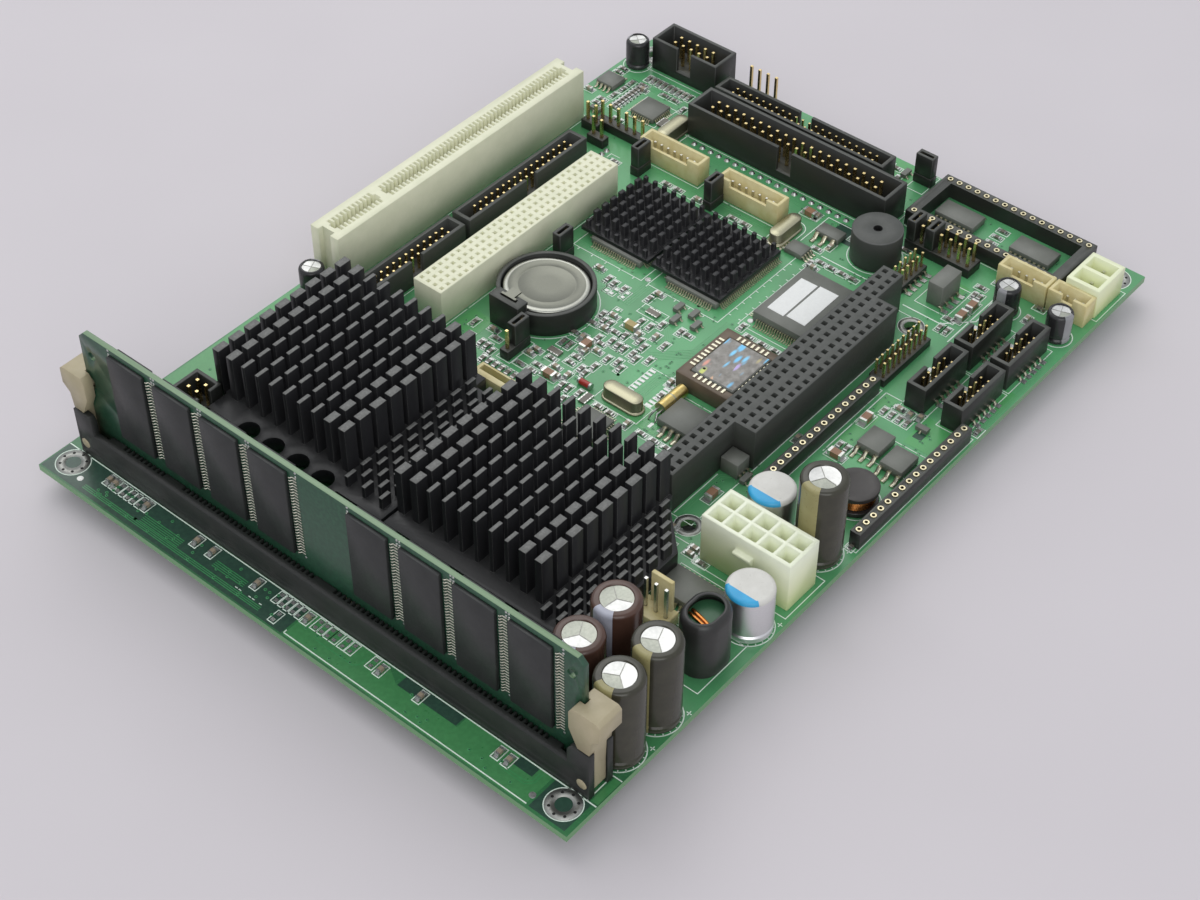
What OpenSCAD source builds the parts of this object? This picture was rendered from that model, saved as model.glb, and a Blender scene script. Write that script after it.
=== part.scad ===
// Single-board computer: a bare, populated board with its memory module, heatsinks and connectors.
// Millimetres. The origin is the centre of the board's underside. X runs along the long side, away
// from the memory socket, Y along the short side and Z up, out of the component side.

/* [Board] */
// Length of the board
board_l = 203.2; // [203:0.1:207]
// Width of the board
board_w = 146.05; // [146:0.05:149]
// Thickness of the board
board_t = 1.6; // [1:0.1:2.4]
// Diameter of the mounting holes
mount_d = 3.2; // [2.5:0.1:4]
// Inset of the corner holes from the edges
mount_in = 5.08; // [4:0.02:5.2]
// Distance between the two inner mounting holes
inner_hole_gap = 80.01; // [79.5:0.01:80.5]
// Length of the pin tails below the board
tail_l = 1.8; // [1:0.1:1.9]

/* [Pins] */
// Pitch of the standard pin rows
pitch = 2.54; // [2.5:0.01:2.56]
// Width of a square pin
pin_w = 0.64; // [0.5:0.01:0.7]
// Pitch of the fine pin rows
fine_pitch = 2; // [1.98:0.01:2.02]
// Width of a fine pin
fine_pin_w = 0.5; // [0.4:0.01:0.54]
// Play of a pin in its hole in the plastic, on each side
pin_play = 0.04; // [0.02:0.01:0.06]
// Play of a pin in its hole in the board, on each side
hole_play = 0.13; // [0.1:0.01:0.2]

/* [Memory] */
// Distance of the memory module from the board's edge
memory_in = 12.1; // [12:0.1:12.6]
// Length of the memory module
module_l = 133.35; // [133:0.05:133.6]
// Height of the memory module
module_h = 31.75; // [29:0.05:38]
// Thickness of the memory module
module_t = 1.27; // [1:0.01:1.3]
// Width of the memory socket
socket_w = 6.8; // [6.4:0.1:7.4]
// Height of the memory socket
socket_h = 7.3; // [6.5:0.1:9]
// Height of the socket's end towers
tower_h = 12.4; // [11:0.1:13]
// Height of the slot's floor above the board
slot_floor = 2.4; // [2.2:0.01:2.6]
// Width of a latch in the tower
latch_w = 3.4; // [3:0.1:3.6]
// Width of a latch's head
latch_head_w = 6.2; // [5.6:0.1:6.6]
// Height of a latch's top above the board
latch_top = 23; // [22:0.1:24]
// Radius of a latch's trunnions
trunnion_r = 1.2; // [0.9:0.05:1.25]
// Radial play of the trunnions
trunnion_play = 0.05; // [0.02:0.01:0.09]

/* [Heatsinks] */
// Height of the large heatsinks' tops above the board
sink_top = 17.8; // [15:0.1:20]
// Height of the chips below the large heatsinks
bridge_h = 2.3; // [1.8:0.1:2.8]
// Thickness of the large heatsinks' base plates
sink_base_t = 3.7; // [3:0.1:4.5]
// Width of a fin along the board's long side
fin_l = 3.2; // [2.6:0.1:3.6]
// Thickness of an inner fin
fin_t = 0.9; // [0.8:0.1:1.4]
// Thickness of an outer fin
outer_fin_t = 1.8; // [1.6:0.1:2.2]
// Height of the short stubs above the base plate
stub_h = 3; // [2:0.1:4]
// Height of the small heatsinks' tops above the board
small_sink_top = 5.7; // [5.2:0.1:7]
// Height of the packages below the small heatsinks
controller_h = 1.7; // [1.5:0.1:2.2]
// Height of the small heatsinks' short rim pins above their base
rim_pin_h = 2; // [1:0.1:2.6]

/* [Connectors] */
// Height of the expansion slot
slot_h = 14; // [11:0.1:14.5]
// Width of the expansion slot's body
slot_w = 8.6; // [8:0.1:9.2]
// Length of the expansion slot's body
slot_l = 84.6; // [84.2:0.1:86]
// Width of the expansion slot's card groove
groove_w = 1.9; // [1.6:0.1:2.1]
// Height of the ivory stacking connector
plus_h = 9.3; // [8:0.1:10]
// Height of the black stacking connector
stack_h = 10.8; // [9:0.1:11.5]
// Height of the two-row shrouded drive header
drive_h = 9.2; // [8.9:0.1:10]
// Height of the fine shrouded headers
fine_shroud_h = 7; // [6.4:0.1:8]
// Wall of the shrouded headers
shroud_wall = 0.9; // [0.7:0.05:1]
// Height of the ten-way power connector
power_h = 12.8; // [11:0.1:14]
// Height of the tan wafer connectors
wafer_h = 6.2; // [5.6:0.1:7.4]
// Height of the wide chip socket
chip_socket_h = 4.2; // [4:0.1:5]
// Height of the turned contact strips
strip_h = 4.2; // [4:0.1:5]
// Height of the plastic strip that holds bare pins
pin_base_h = 2.5; // [2:0.1:2.6]
// Height of a jumper cap's top above the board
cap_top = 8.4; // [7.8:0.1:9]
// Height of the four long bare pins above the board
tall_pin_top = 9.8; // [8:0.1:11]

/* [Battery] */
// Diameter of the coin cell
cell_d = 20; // [19.6:0.1:20.2]
// Thickness of the coin cell
cell_t = 3.2; // [2.8:0.1:3.4]
// Height of the battery holder's rim
holder_h = 6; // [5.6:0.1:7]
// Wall of the battery holder
holder_wall = 1; // [0.8:0.1:1.2]

/* [Capacitors and coils] */
// Diameter of the tall capacitors
bulk_d = 10; // [9.6:0.1:10.4]
// Height of the tall capacitors
bulk_h = 22; // [18:0.5:25]
// Height of the polymer capacitors
polymer_h = 12; // [10:0.5:14]
// Diameter of the small capacitors
small_cap_d = 6; // [5:0.1:6.3]
// Height of the small capacitors
small_cap_h = 7.8; // [7:0.1:9]
// Diameter of the buzzer
buzzer_d = 12; // [11:0.1:12.4]
// Height of the buzzer
buzzer_h = 8.5; // [7.5:0.1:9.5]

/* [Memory card] */
// Length of the memory card along the board's short side
card_l = 42.8; // [42:0.1:43]
// Length of the memory card from its contacts to its outer end
card_depth = 36.4; // [36:0.1:37]
// Thickness of the memory card
card_t = 3.3; // [3:0.1:3.5]
// How far the card stands out past the board's edge
card_out = 2.6; // [1:0.1:4]
// Depth of the card socket below the board
card_socket_h = 5.4; // [5:0.1:6]

/* [Hidden] */
$fn = 48;
left = -board_l/2;
right = board_l/2;
front = -board_w/2;
rear = board_w/2;
cut = 0.5;
gap = 0.1;
inner_holes_at = [12.7, -41.8];

// Places of the pins

function grid(c, nx, ny, px, py) =
  [for (i = [0:nx-1], j = [0:ny-1]) [c[0] + (i - (nx-1)/2)*px, c[1] + (j - (ny-1)/2)*py]];

drive_at = [right - 21.3, 11.6];
drive_pin_at = grid(drive_at, 2, 20, pitch, pitch);
slim_at = [right - 10.7, 16.8];
slim_pin_at = grid(slim_at, 2, 22, fine_pitch, fine_pitch);
ribbon_at = [[-7.4, 55.4], [31.7, 55.4]];
ribbon_n = [13, 17];
ribbon_pin_at = [for (k = [0, 1]) each grid(ribbon_at[k], ribbon_n[k], 2, fine_pitch, fine_pitch)];
corner_at = [right - 5.5, 55];
side_at = [left + 31.2, 58.2];
box_pin_at = concat(grid(corner_at, 2, 5, pitch, pitch), grid(side_at, 3, 2, pitch, pitch));
stack_at = [14.2, -36.9];
stack_a_at = grid([14.2, -34.15], 32, 2, pitch, pitch);
stack_c_at = grid([19.5, -39.6], 20, 2, pitch, pitch);
stack_pin_at = concat(stack_a_at, stack_c_at);
plus_at = [15.7, 42.55];
plus_pin_at = grid(plus_at, 30, 4, fine_pitch, fine_pitch);
power_at = [-28.2, front + 12.9];
power_pitch = 4.2;
power_pin_at = grid(power_at, 2, 5, power_pitch, power_pitch);
disk_power_at = [right - 14.4, front + 5.6];
disk_power_pin_at = grid(disk_power_at, 4, 1, pitch, pitch);
fan_at = [-51.5, front + 20.2];
fan_pin_at = grid(fan_at, 1, 3, pitch, pitch);
chip_socket_at = [right - 11.1, -40.4];
chip_socket_rows = 15.24;
chip_contact_at = grid(chip_socket_at, 2, 16, chip_socket_rows, pitch);
strip_at = [9.95, -59.35];
strip_rows = 23.5;
strip_contact_at = grid(strip_at, 16, 2, pitch, strip_rows);
twin_row_at = [right - 24.6, -33.5];
// Bare pin rows: centre, count along X, count along Y
row_at = [
  [[-10.5, 20.5], 3, 1], [[20.4, 33.2], 2, 1], [[right - 44.6, 40.2], 2, 1],
  [[right - 43.6, 18.8], 2, 1], [[right - 3.9, -14.5], 1, 2],
  [[right - 36.7, 51.2 + pitch/2], 1, 6], [[right - 36.7 - pitch, 51.2 + 3.5*pitch], 1, 2],
  [[right - 42.9, 55.2], 1, 2], [twin_row_at, 2, 7]
];
tall_row_at = [right - 4, 34.2];
tall_pin_at = grid(tall_row_at, 1, 4, pitch, pitch);
row_pin_at = [for (r = row_at) each grid(r[0], r[1], r[2], pitch, pitch)];
fine_row_at = [41.2, -46.6];
fine_row_pin_at = grid(fine_row_at, 9, 2, fine_pitch, fine_pitch);
// A bare header that is soldered to the face
face_row_at = [right - 36.2, -31.8];
face_row_n = 5;
face_row_pin_at = grid(face_row_at, face_row_n, 2, fine_pitch, fine_pitch);
// Rows that carry a cap: centre and whether the cap lies along X
cap_at = [
  [[-9.23, 20.5], true], [[20.4, 33.2], true], [[right - 44.6, 40.2], true],
  [[right - 43.6, 18.8], true], [[right - 3.9, -14.5], false],
  [twin_row_at + [0, 3*pitch], true], [twin_row_at + [0, pitch], true]
];
wafer_at = [[right - 38.2, 34.9], [right - 38.2, 11.2], [right - 22.4, -54.6], [right - 22.4, -66.4]];
wafer_l = [17.9, 17.9, 12.8, 9.9];
wafer_w = 4.5;
wafer_pitch = 2;
function wafer_pin_n(k) = floor((wafer_l[k] - 3.9)/wafer_pitch) + 1;
wafer_pin_at = [for (k = [0:3]) each grid(wafer_at[k], 1, wafer_pin_n(k), 1, wafer_pitch)];
fine_wafer_at = [-22.4, 15.6];
surface_at = [[38.9, -57.5], [57, -57.5], [38.9, -66.9], [57, -66.9]];
surface_l = 16.6;
surface_w = 4.9;
surface_pin_at = [for (c = surface_at) each grid(c, 5, 2, fine_pitch, fine_pitch)];
bulk_dark_at = [[left + 21.2, front + 5.4], [left + 32.1, front + 5.4], [-16.3, front + 6.6]];
bulk_brown_at = [[left + 23.8, front + 17.2], [left + 34.9, front + 17.5]];
polymer_at = [[-40.8, front + 5.5], [-17, front + 18.2]];
slot_at = [22.1, rear - 4.2];
small_cap_at = [
  [slot_at[0] - slot_l/2 - 5.2, rear - 4.6], [right - 11, rear - 4.2],
  [right - 30.8, front + 18.2], [right - 30.8, front + 4.6]
];
lead_pitch = 5;
function leads(at, p) = [for (c = at, s = [-1, 1]) [c[0] + s*p/2, c[1]]];
bulk_lead_at = leads(concat(bulk_dark_at, bulk_brown_at, polymer_at), lead_pitch);
small_lead_at = leads(small_cap_at, lead_pitch/2);
buzzer_at = [right - 34.2, -21.5];
buzzer_lead_at = leads([buzzer_at], 6.5);
round_hole_at = concat(bulk_lead_at, small_lead_at, buzzer_lead_at);

// Shared shapes

module dots(at, w) {
  for (p = at) translate([p[0] - w/2, p[1] - w/2]) square(w);
}
module plate(c, l, w) {
  translate([c[0] - l/2, c[1] - w/2]) square([l, w]);
}
module layer(z, h) {
  translate([0, 0, board_t + z]) linear_extrude(h) children();
}
module pins(at, w, top) {
  translate([0, 0, -tail_l]) linear_extrude(tail_l + board_t + top) dots(at, w);
}
module round_can(c, d, h, z = 0) {
  translate([c[0], c[1], board_t + z]) cylinder(d = d, h = h);
}
module holes_2d(at, w, play) {
  dots(at, w + 2*play);
}
// A box header: floor with pin holes, four walls, and a key gap in one of them
module shroud(c, l, w, h, floor_h, wall, at, pw, key_c, key_l, key_w) {
  layer(0, floor_h) difference() {
    plate(c, l, w);
    holes_2d(at, pw, pin_play);
  }
  layer(floor_h, h - floor_h) difference() {
    plate(c, l, w);
    plate(c, l - 2*wall, w - 2*wall);
    plate(key_c, key_l, key_w);
  }
}

// Board

module board() {
  color("forestgreen") difference() {
    linear_extrude(board_t) difference() {
      plate([0, 0], board_l, board_w);
      holes_2d(concat(drive_pin_at, stack_pin_at, box_pin_at, row_pin_at, tall_pin_at), pin_w, hole_play);
      holes_2d(concat(chip_contact_at, strip_contact_at), fine_pin_w, hole_play);
      holes_2d(concat(slim_pin_at, fine_row_pin_at, round_hole_at), fine_pin_w, hole_play);
      holes_2d(concat(power_pin_at, disk_power_pin_at, fan_pin_at), pin_w, hole_play);
    }
    for (x = [left + mount_in, right - mount_in], y = [front + mount_in, rear - mount_in])
      translate([x, y, -cut]) cylinder(d = mount_d, h = board_t + 2*cut);
    for (s = [-1, 1])
      translate([inner_holes_at[0] + s*inner_hole_gap/2, inner_holes_at[1], -cut])
        cylinder(d = mount_d, h = board_t + 2*cut);
    for (y = peg_at) translate([memory_x, y, -cut]) cylinder(r = peg_r + hole_play, h = board_t + 2*cut);
  }
}

// Memory socket, its latches and the module

memory_x = left + memory_in;
memory_y = -0.9;
slot_play = 0.12;
end_play = 0.3;
module_end = module_l/2;
tower_end = module_end + 3.35;
tower_in = module_end - 1.9;
channel_in = module_end - 4.9;
channel_w = latch_w + 0.3;
peg_r = 1.2;
peg_l = 2.1;
peg_at = [for (k = [-1, 0, 1]) memory_y + k*57.15];
pivot_u = module_end + 1.55;
pivot_z = 3.4;
notch_z = 17.78;
notch_r = 2.2;
nub_r = 1.5;
foot_z = 0.3;
foot_in = pivot_u - sqrt(pow(pivot_u - channel_in - 0.15, 2) - pow(pivot_z - foot_z, 2));
key_rib = 1.7;
key_depth = 4.3;
key_play = 0.3;
key_seat = 0.2;
key_u = [0, 43.18];
contact_pitch = 1.27;
finger_w = 0.5;

// Frame of one end of the socket: u outwards along the socket, z up from the board
module at_end(s) {
  translate([memory_x, memory_y, board_t]) mirror([0, s < 0 ? 1 : 0, 0]) children();
}
// A YZ outline, u outwards and z up, made w thick in X and centred on the module
module across(w) {
  rotate([90, 0, 90]) translate([0, 0, -w/2]) linear_extrude(w) children();
}
module memory_socket() {
  slot_w2 = module_t + 2*slot_play;
  color("#242526") difference() {
    union() {
      layer(0, slot_floor) difference() {
        plate([memory_x, memory_y], socket_w, 2*tower_end);
        holes_2d(memory_contact_at, finger_w, pin_play);
      }
      layer(slot_floor, socket_h - slot_floor) difference() {
        plate([memory_x, memory_y], socket_w, 2*tower_end);
        plate([memory_x, memory_y], slot_w2, 2*(module_end + end_play));
        for (p = memory_cell_at) plate(p, slot_w2 + 2*cell_depth, finger_w + 0.25);
      }
      layer(slot_floor - key_seat, key_depth - key_play + key_seat)
        for (u = key_u) plate([memory_x, memory_y + u], slot_w2 + 2*key_seat, key_rib);
      for (y = peg_at)
        translate([memory_x, y, -peg_l]) cylinder(r = peg_r, h = board_t + peg_l + 0.1);
      for (s = [-1, 1]) at_end(s) across(socket_w)
        polygon([[tower_in, 0], [tower_end, 0], [tower_end, tower_h], [tower_in + 0.8, tower_h],
                 [tower_in, tower_h - 1.2]]);
    }
    for (s = [-1, 1]) at_end(s) {
      translate([-channel_w/2, channel_in, 0])
        cube([channel_w, tower_end - channel_in + cut, tower_h + cut]);
      translate([-socket_w/2 - cut, pivot_u, pivot_z]) rotate([0, 90, 0])
        cylinder(r = trunnion_r + trunnion_play, h = socket_w + 2*cut);
    }
  }
}
cell_depth = 1.15;
contact_u = [for (i = [0:83]) let (u = -57.15 + i*contact_pitch + (i > 9 ? 5.08 : 0) + (i > 39 ? 5.08 : 0)) u];
memory_cell_at = [for (u = contact_u) if (abs(u) < channel_in - 1) [memory_x, memory_y - u]];
memory_contact_at = [for (p = memory_cell_at, s = [-1, 1]) [p[0] + s*(module_t/2 + slot_play + cell_depth - finger_w/2 - 0.05), p[1]]];
module memory_contacts() {
  color("gold") layer(0, socket_h - 1.2) dots(memory_contact_at, finger_w);
}
module latch() {
  groove = module_t + 0.3;
  color("#ece6c8") {
    across(latch_w) polygon([
      [foot_in, foot_z], [pivot_u + 0.4, foot_z], [pivot_u + 1.5, 1.6], [pivot_u + 1.5, pivot_z + 4],
      [pivot_u + 1.7, 14.2], [module_end + 0.35, 14.2], [module_end + 0.3, slot_floor - 0.15],
      [foot_in, slot_floor - 0.15]]);
    difference() {
      across(latch_head_w) polygon([
        [module_end + 0.35, 12.7], [pivot_u + 1.6, 12.7], [pivot_u + 2.1, 16.6],
        [pivot_u + 4, 18.4], [pivot_u + 4, latch_top - 0.7], [pivot_u + 3.2, latch_top],
        [module_end - 0.9, latch_top], [module_end - 1.7, latch_top - 1.4],
        [module_end - 1.7, 17.2]]);
      translate([-groove/2, module_end - 3, 12]) cube([groove, 3.3, latch_top]);
    }
    translate([-groove/2 - cut, 0, 0]) difference() {
      translate([0, module_end + 0.35, slot_floor + notch_z]) rotate([0, 90, 0])
        cylinder(r = nub_r, h = groove + 2*cut);
      translate([-cut, module_end + 0.8, 12]) cube([groove + 4*cut, 4, 12]);
    }
    translate([-socket_w/2, pivot_u, pivot_z]) rotate([0, 90, 0]) cylinder(r = trunnion_r, h = socket_w);
  }
}
module latch_rear() { at_end(1) latch(); }
module latch_front() { at_end(-1) latch(); }
module memory_module() {
  color("#1f6b3c") translate([0, 0, slot_floor]) at_end(1) across(module_t) difference() {
    polygon([
      [-module_end, 0], [module_end, 0], [module_end, module_h - 1.5], [module_end - 1.5, module_h],
      [-module_end + 1.5, module_h], [-module_end, module_h - 1.5]]);
    for (s = [-1, 1]) translate([s*module_end, notch_z]) circle(notch_r);
    for (s = [-1, 1]) translate([s*(module_end - 3), notch_z + 8.5]) circle(1);
    for (u = key_u) translate([u - key_rib/2 - 0.15, -1]) square([key_rib + 0.3, 1 + key_depth]);
  }
}
chip_u = [51.3, 37.9, 24.5, 11.1, -15.3, -28.7, -42.1, -55.5];
module memory_chips() {
  chip_h = 22.2;
  chip_w = 10.2;
  chip_t = 1.05;
  chip_low = module_h - 1.1 - chip_h;
  color("#333336") for (u = chip_u, s = [-1, 1])
    translate([memory_x + (s < 0 ? -module_t/2 - chip_t : module_t/2), u - chip_w/2,
               board_t + slot_floor + chip_low]) cube([chip_t, chip_w, chip_h]);
}

// Large heatsinks

rear_sink_x = -45.8;
rear_sink_y = 36.55;
front_sink_x = -47;
front_sink_y = -17.4;
sink_pitch_x = 4.5;
sink_pitch_y = 4.11;
sink_rows = 10;
sink_columns = 9;
stub_shift = -3.25;
sink_z = bridge_h;
sink_face = bridge_h + sink_base_t;
flange_hole_at = [-70, 31.1];

module fins(c) {
  inner = [for (p = grid(c, sink_columns, sink_rows - 4, sink_pitch_x, sink_pitch_y)) p];
  y_out = (sink_rows - 1)/2*sink_pitch_y;
  layer(sink_face - 1, sink_top - sink_face + 1) {
    for (p = inner) plate(p, fin_l, fin_t);
    for (i = [0:sink_columns - 1], s = [-1, 1], k = [0, 1])
      plate([c[0] + (i - (sink_columns - 1)/2)*sink_pitch_x, c[1] + s*(y_out - k*sink_pitch_y)],
            fin_l, outer_fin_t);
  }
}
// Short stubs in front of the tall fins, each row half a pitch aside of the one before; slant rows
// end half a pitch earlier each time
module stubs(c, rows, row_pitch, slant = 0) {
  y0 = c[1] - (sink_rows - 1)/2*sink_pitch_y - 3.4;
  layer(sink_face - 1, stub_h + 1)
    for (r = [0:rows - 1], i = [0:sink_columns - 1 - r % 2 - slant*floor(r/2)])
      plate([c[0] + stub_shift + (i - (sink_columns - 1 - r % 2)/2)*sink_pitch_x, y0 - r*row_pitch], 2.6, 0.9);
}
module heatsink_rear() {
  c = [rear_sink_x, rear_sink_y];
  color("#1b1b1d") union() {
    layer(sink_z, sink_base_t) difference() {
      union() {
        translate([-70.6, 3]) square([41.2, 50.8]);
        translate([-64.9, 15]) square([38.9, 41.3]);
        translate([-76.2, 15.6]) square([10, 31]);
      }
      for (j = [-1.5:1.5]) translate([flange_hole_at[0], flange_hole_at[1] + j*7.3]) circle(d = 5.2);
    }
    fins(c);
    stubs(c, 5, 2.4);
  }
}
module heatsink_front() {
  c = [front_sink_x, front_sink_y];
  color("#1b1b1d") union() {
    layer(sink_z, sink_base_t)
      polygon([[-70.6, 2.2], [-70.6, -48.2], [-38.9, -48.2], [-29.4, -38.4], [-27.3, -37.5], [-27.3, 2.2]]);
    fins(c);
    stubs(c, 5, 1.95, 1);
  }
}
module bridge_chips() {
  color("#2c3a30") {
    layer(0, bridge_h) plate([-48, 32], 35, 35);
    layer(0, bridge_h) plate([-48, -20], 35, 35);
  }
}

// Small heatsinks on the two drive controllers

small_sink_at = [[40.9, 25.5], [40.9, 4.5]];
controller_at = [[40.9, 24.5], [40.9, 2.3]];
small_pitch_x = 3;
small_pitch_y = 2.83;
small_nx = 6;
small_ny = 7;
small_base_t = 1;
small_pin_l = 1.6;
small_pin_t = 1;
low_stub_h = 0.4;

module small_heatsink(c) {
  face = controller_h + small_base_t;
  x_out = (small_nx + 1)/2*small_pitch_x;
  y_out = (small_ny - 1)/2*small_pitch_y;
  layer(controller_h, small_base_t) plate(c, 2*x_out + 1.8, 2*y_out + 3);
  layer(face - 0.5, small_sink_top - face + 0.5)
    for (p = grid(c, small_nx, small_ny, small_pitch_x, small_pitch_y)) plate(p, small_pin_l, small_pin_t);
  // Slim pins at the two ends and low stubs along the two sides
  layer(face - 0.5, rim_pin_h + 0.5)
    for (s = [-1, 1], p = grid([c[0] + s*x_out, c[1]], 1, small_ny, 1, small_pitch_y)) plate(p, 0.9, 0.9);
  layer(face - 0.5, low_stub_h + 0.5)
    for (s = [-1, 1], p = grid([c[0], c[1] + s*(y_out + 1.15)], small_nx, 1, small_pitch_x, 1))
      plate(p, 1.9, 0.5);
}
module controller_heatsinks() {
  color("#1b1b1d") for (c = small_sink_at) small_heatsink(c);
}
module controller_chips() {
  color("#2e2e30") for (c = controller_at) layer(0, controller_h) plate(c, 24.4, 14.6);
}

// Expansion slot and stacking connectors

slot_key_x = slot_at[0] - 24.13;
slot_n = 62;
slot_end_cut = [1.4, 3.8];
slot_cell_w = 0.75;
slot_cell_l = 5.4;
slot_contact_at = [for (i = [0:slot_n - 1], s = [-1, 1])
  let (x = slot_at[0] + (i - (slot_n - 1)/2)*contact_pitch)
  if (abs(x - slot_key_x) > 1) [x, slot_at[1] + s*1.9]];
module slot_outline() {
  difference() {
    plate(slot_at, slot_l, slot_w);
    for (s = [-1, 1]) plate([slot_at[0] + s*slot_l/2, slot_at[1]], 2*slot_end_cut[0], slot_end_cut[1]);
  }
}

module expansion_slot() {
  floor_h = 3;
  color("#e9e5cf") {
    layer(0, floor_h) difference() {
      slot_outline();
      dots(slot_contact_at, finger_w + 2*pin_play);
    }
    layer(floor_h, slot_h - floor_h) difference() {
      slot_outline();
      difference() {
        plate(slot_at, slot_l - 5, groove_w);
        plate([slot_key_x, slot_at[1]], 1.8, groove_w);
      }
      for (p = slot_contact_at) plate([p[0], (p[1] + slot_at[1])/2 + sign(p[1] - slot_at[1])*0.35], slot_cell_w, 2.2);
    }
  }
}
module expansion_contacts() {
  color("gold") layer(0, slot_h - 2.5) dots(slot_contact_at, finger_w);
}
module plus_connector() {
  color("#e9e5cf") {
    layer(0, 2) difference() {
      plate(plus_at, 61, 8.3);
      holes_2d(plus_pin_at, fine_pin_w, pin_play);
    }
    layer(2, plus_h - 2) difference() {
      plate(plus_at, 61, 8.3);
      dots(plus_pin_at, 0.95);
    }
  }
}
module plus_contacts() {
  color("gold") layer(0, 3.5) dots(plus_pin_at, fine_pin_w);
}
module stack_connector() {
  l_a = 32*pitch + 0.4;
  l_c = 20*pitch + 0.4;
  color("#1f2021") {
    layer(0, 2.5) difference() {
      stack_outline(l_a, l_c);
      holes_2d(stack_pin_at, pin_w, pin_play);
    }
    layer(2.5, stack_h - 2.5) difference() {
      stack_outline(l_a, l_c);
      dots(stack_pin_at, 1.25);
    }
  }
}
module stack_outline(l_a, l_c) {
  plate([stack_a_at[0][0] + 15.5*pitch, stack_a_at[0][1] + pitch/2], l_a, 5.3);
  plate([stack_c_at[0][0] + 9.5*pitch, stack_c_at[0][1] + pitch/2 + 0.2], l_c, 5.6);
}
module stack_contacts() {
  color("gold") pins(stack_pin_at, pin_w, 4);
}

// Battery

cell_at = [5.95, 25.6];
cell_tilt = 3;
holder_r = cell_d/2 + 0.35 + holder_wall;
module battery_holder() {
  color("#232425") difference() {
    union() {
      layer(0, holder_h) translate(cell_at) circle(holder_r);
      layer(0, cap_top) translate([-7.1, 22.6]) square([3.4, 8.6]);
      layer(0, holder_h - 1) translate([-5, 22.6]) square([5, 8.6]);
    }
    translate([cell_at[0], cell_at[1], board_t + 1.6]) cylinder(r = holder_r - holder_wall, h = holder_h);
    translate([-5.6, 24.6, board_t + holder_h - 1]) cube([0.9, 4.6, cap_top]);
  }
}
module coin_cell() {
  color("#b9b6ac") translate([cell_at[0], cell_at[1], board_t + 2.45]) rotate([0, cell_tilt, 0])
    cylinder(d = cell_d, h = cell_t);
}
module battery_clip() {
  color("#c9b36a") translate([0, 0, board_t]) {
    translate([-5.45, 24.8, holder_h - 1]) cube([0.6, 4.2, cap_top - holder_h + 1.4]);
    translate([-5.45, 25.6, cap_top]) cube([3.1, 2.6, 0.4]);
  }
}

// Shrouded headers

module drive_header() {
  color("#232425") shroud(drive_at, 9, 58.4, drive_h, 2.5, shroud_wall, drive_pin_at, pin_w,
                          [drive_at[0] - 4, drive_at[1]], 3, 4.2);
}
module drive_pins() { color("gold") pins(drive_pin_at, pin_w, 8.8); }
module slim_drive_header() {
  color("#232425") shroud(slim_at, 5.8, 50.4, fine_shroud_h, 2, shroud_wall, slim_pin_at, fine_pin_w,
                          [slim_at[0] + 2.5, slim_at[1] + 1], 2.4, 3.6);
}
module slim_drive_pins() { color("gold") pins(slim_pin_at, fine_pin_w, 6.2); }
module ribbon_headers() {
  color("#232425") for (k = [0, 1])
    shroud([ribbon_at[k][0] - 0.9, ribbon_at[k][1]], ribbon_n[k]*fine_pitch + 7.5, 5.6, fine_shroud_h, 2, shroud_wall,
           ribbon_pin_at, fine_pin_w, [ribbon_at[k][0], ribbon_at[k][1] - 2.4], 3.6, 2.4);
}
module ribbon_pins() { color("gold") layer(0, 6.2) dots(ribbon_pin_at, fine_pin_w); }
module box_headers() {
  color("#232425") {
    shroud(corner_at, 8.6, 20.2, drive_h, 2.5, shroud_wall, box_pin_at, pin_w,
           [corner_at[0] - 4, corner_at[1]], 3, 4.2);
    shroud(side_at, 9.6, 7.6, drive_h - 0.4, 2.5, shroud_wall, box_pin_at, pin_w,
           [side_at[0], side_at[1] - 3.4], 3, 2.4);
  }
}
module box_header_pins() { color("gold") pins(box_pin_at, pin_w, 8.5); }
module surface_headers() {
  color("#232425") for (c = surface_at)
    shroud(c, surface_l, surface_w, fine_shroud_h, 1.6, shroud_wall, surface_pin_at, fine_pin_w,
           [c[0], c[1] + 2], 3.4, 2.4);
}
module surface_header_pins() { color("gold") layer(0, 6) dots(surface_pin_at, fine_pin_w); }

// Bare pins and caps

module pin_bases() {
  color("#232425") {
    layer(0, pin_base_h) difference() {
      union() {
        for (r = row_at) plate(r[0], r[1]*pitch - gap, r[2]*pitch - gap);
        plate(tall_row_at, pitch - gap, 4*pitch - gap);
      }
      holes_2d(concat(row_pin_at, tall_pin_at), pin_w, pin_play);
    }
    layer(0, fine_pitch) difference() {
      union() {
        plate(fine_row_at, 9*fine_pitch, 2*fine_pitch);
        plate(face_row_at, face_row_n*fine_pitch, 2*fine_pitch);
      }
      holes_2d(concat(fine_row_pin_at, face_row_pin_at), fine_pin_w, pin_play);
    }
  }
}
module strip_pins() {
  color("gold") {
    pins(row_pin_at, pin_w, cap_top - 0.8);
    pins(tall_pin_at, pin_w, tall_pin_top);
    pins(fine_row_pin_at, fine_pin_w, 6);
    layer(0, 6) dots(face_row_pin_at, fine_pin_w);
  }
}
module jumper_caps() {
  color("#2a2b2c") for (q = cap_at) {
    l = q[1] ? 2*pitch - 0.25 : 2.4;
    w = q[1] ? 2.4 : 2*pitch - 0.25;
    layer(pin_base_h + gap, cap_top - pin_base_h - gap) difference() {
      plate(q[0], l, w);
      plate(q[0], q[1] ? l - 1.1 : pin_w + 0.2, q[1] ? pin_w + 0.2 : w - 1.1);
    }
  }
}

// Wafer connectors, with one long side low and notched

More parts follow.
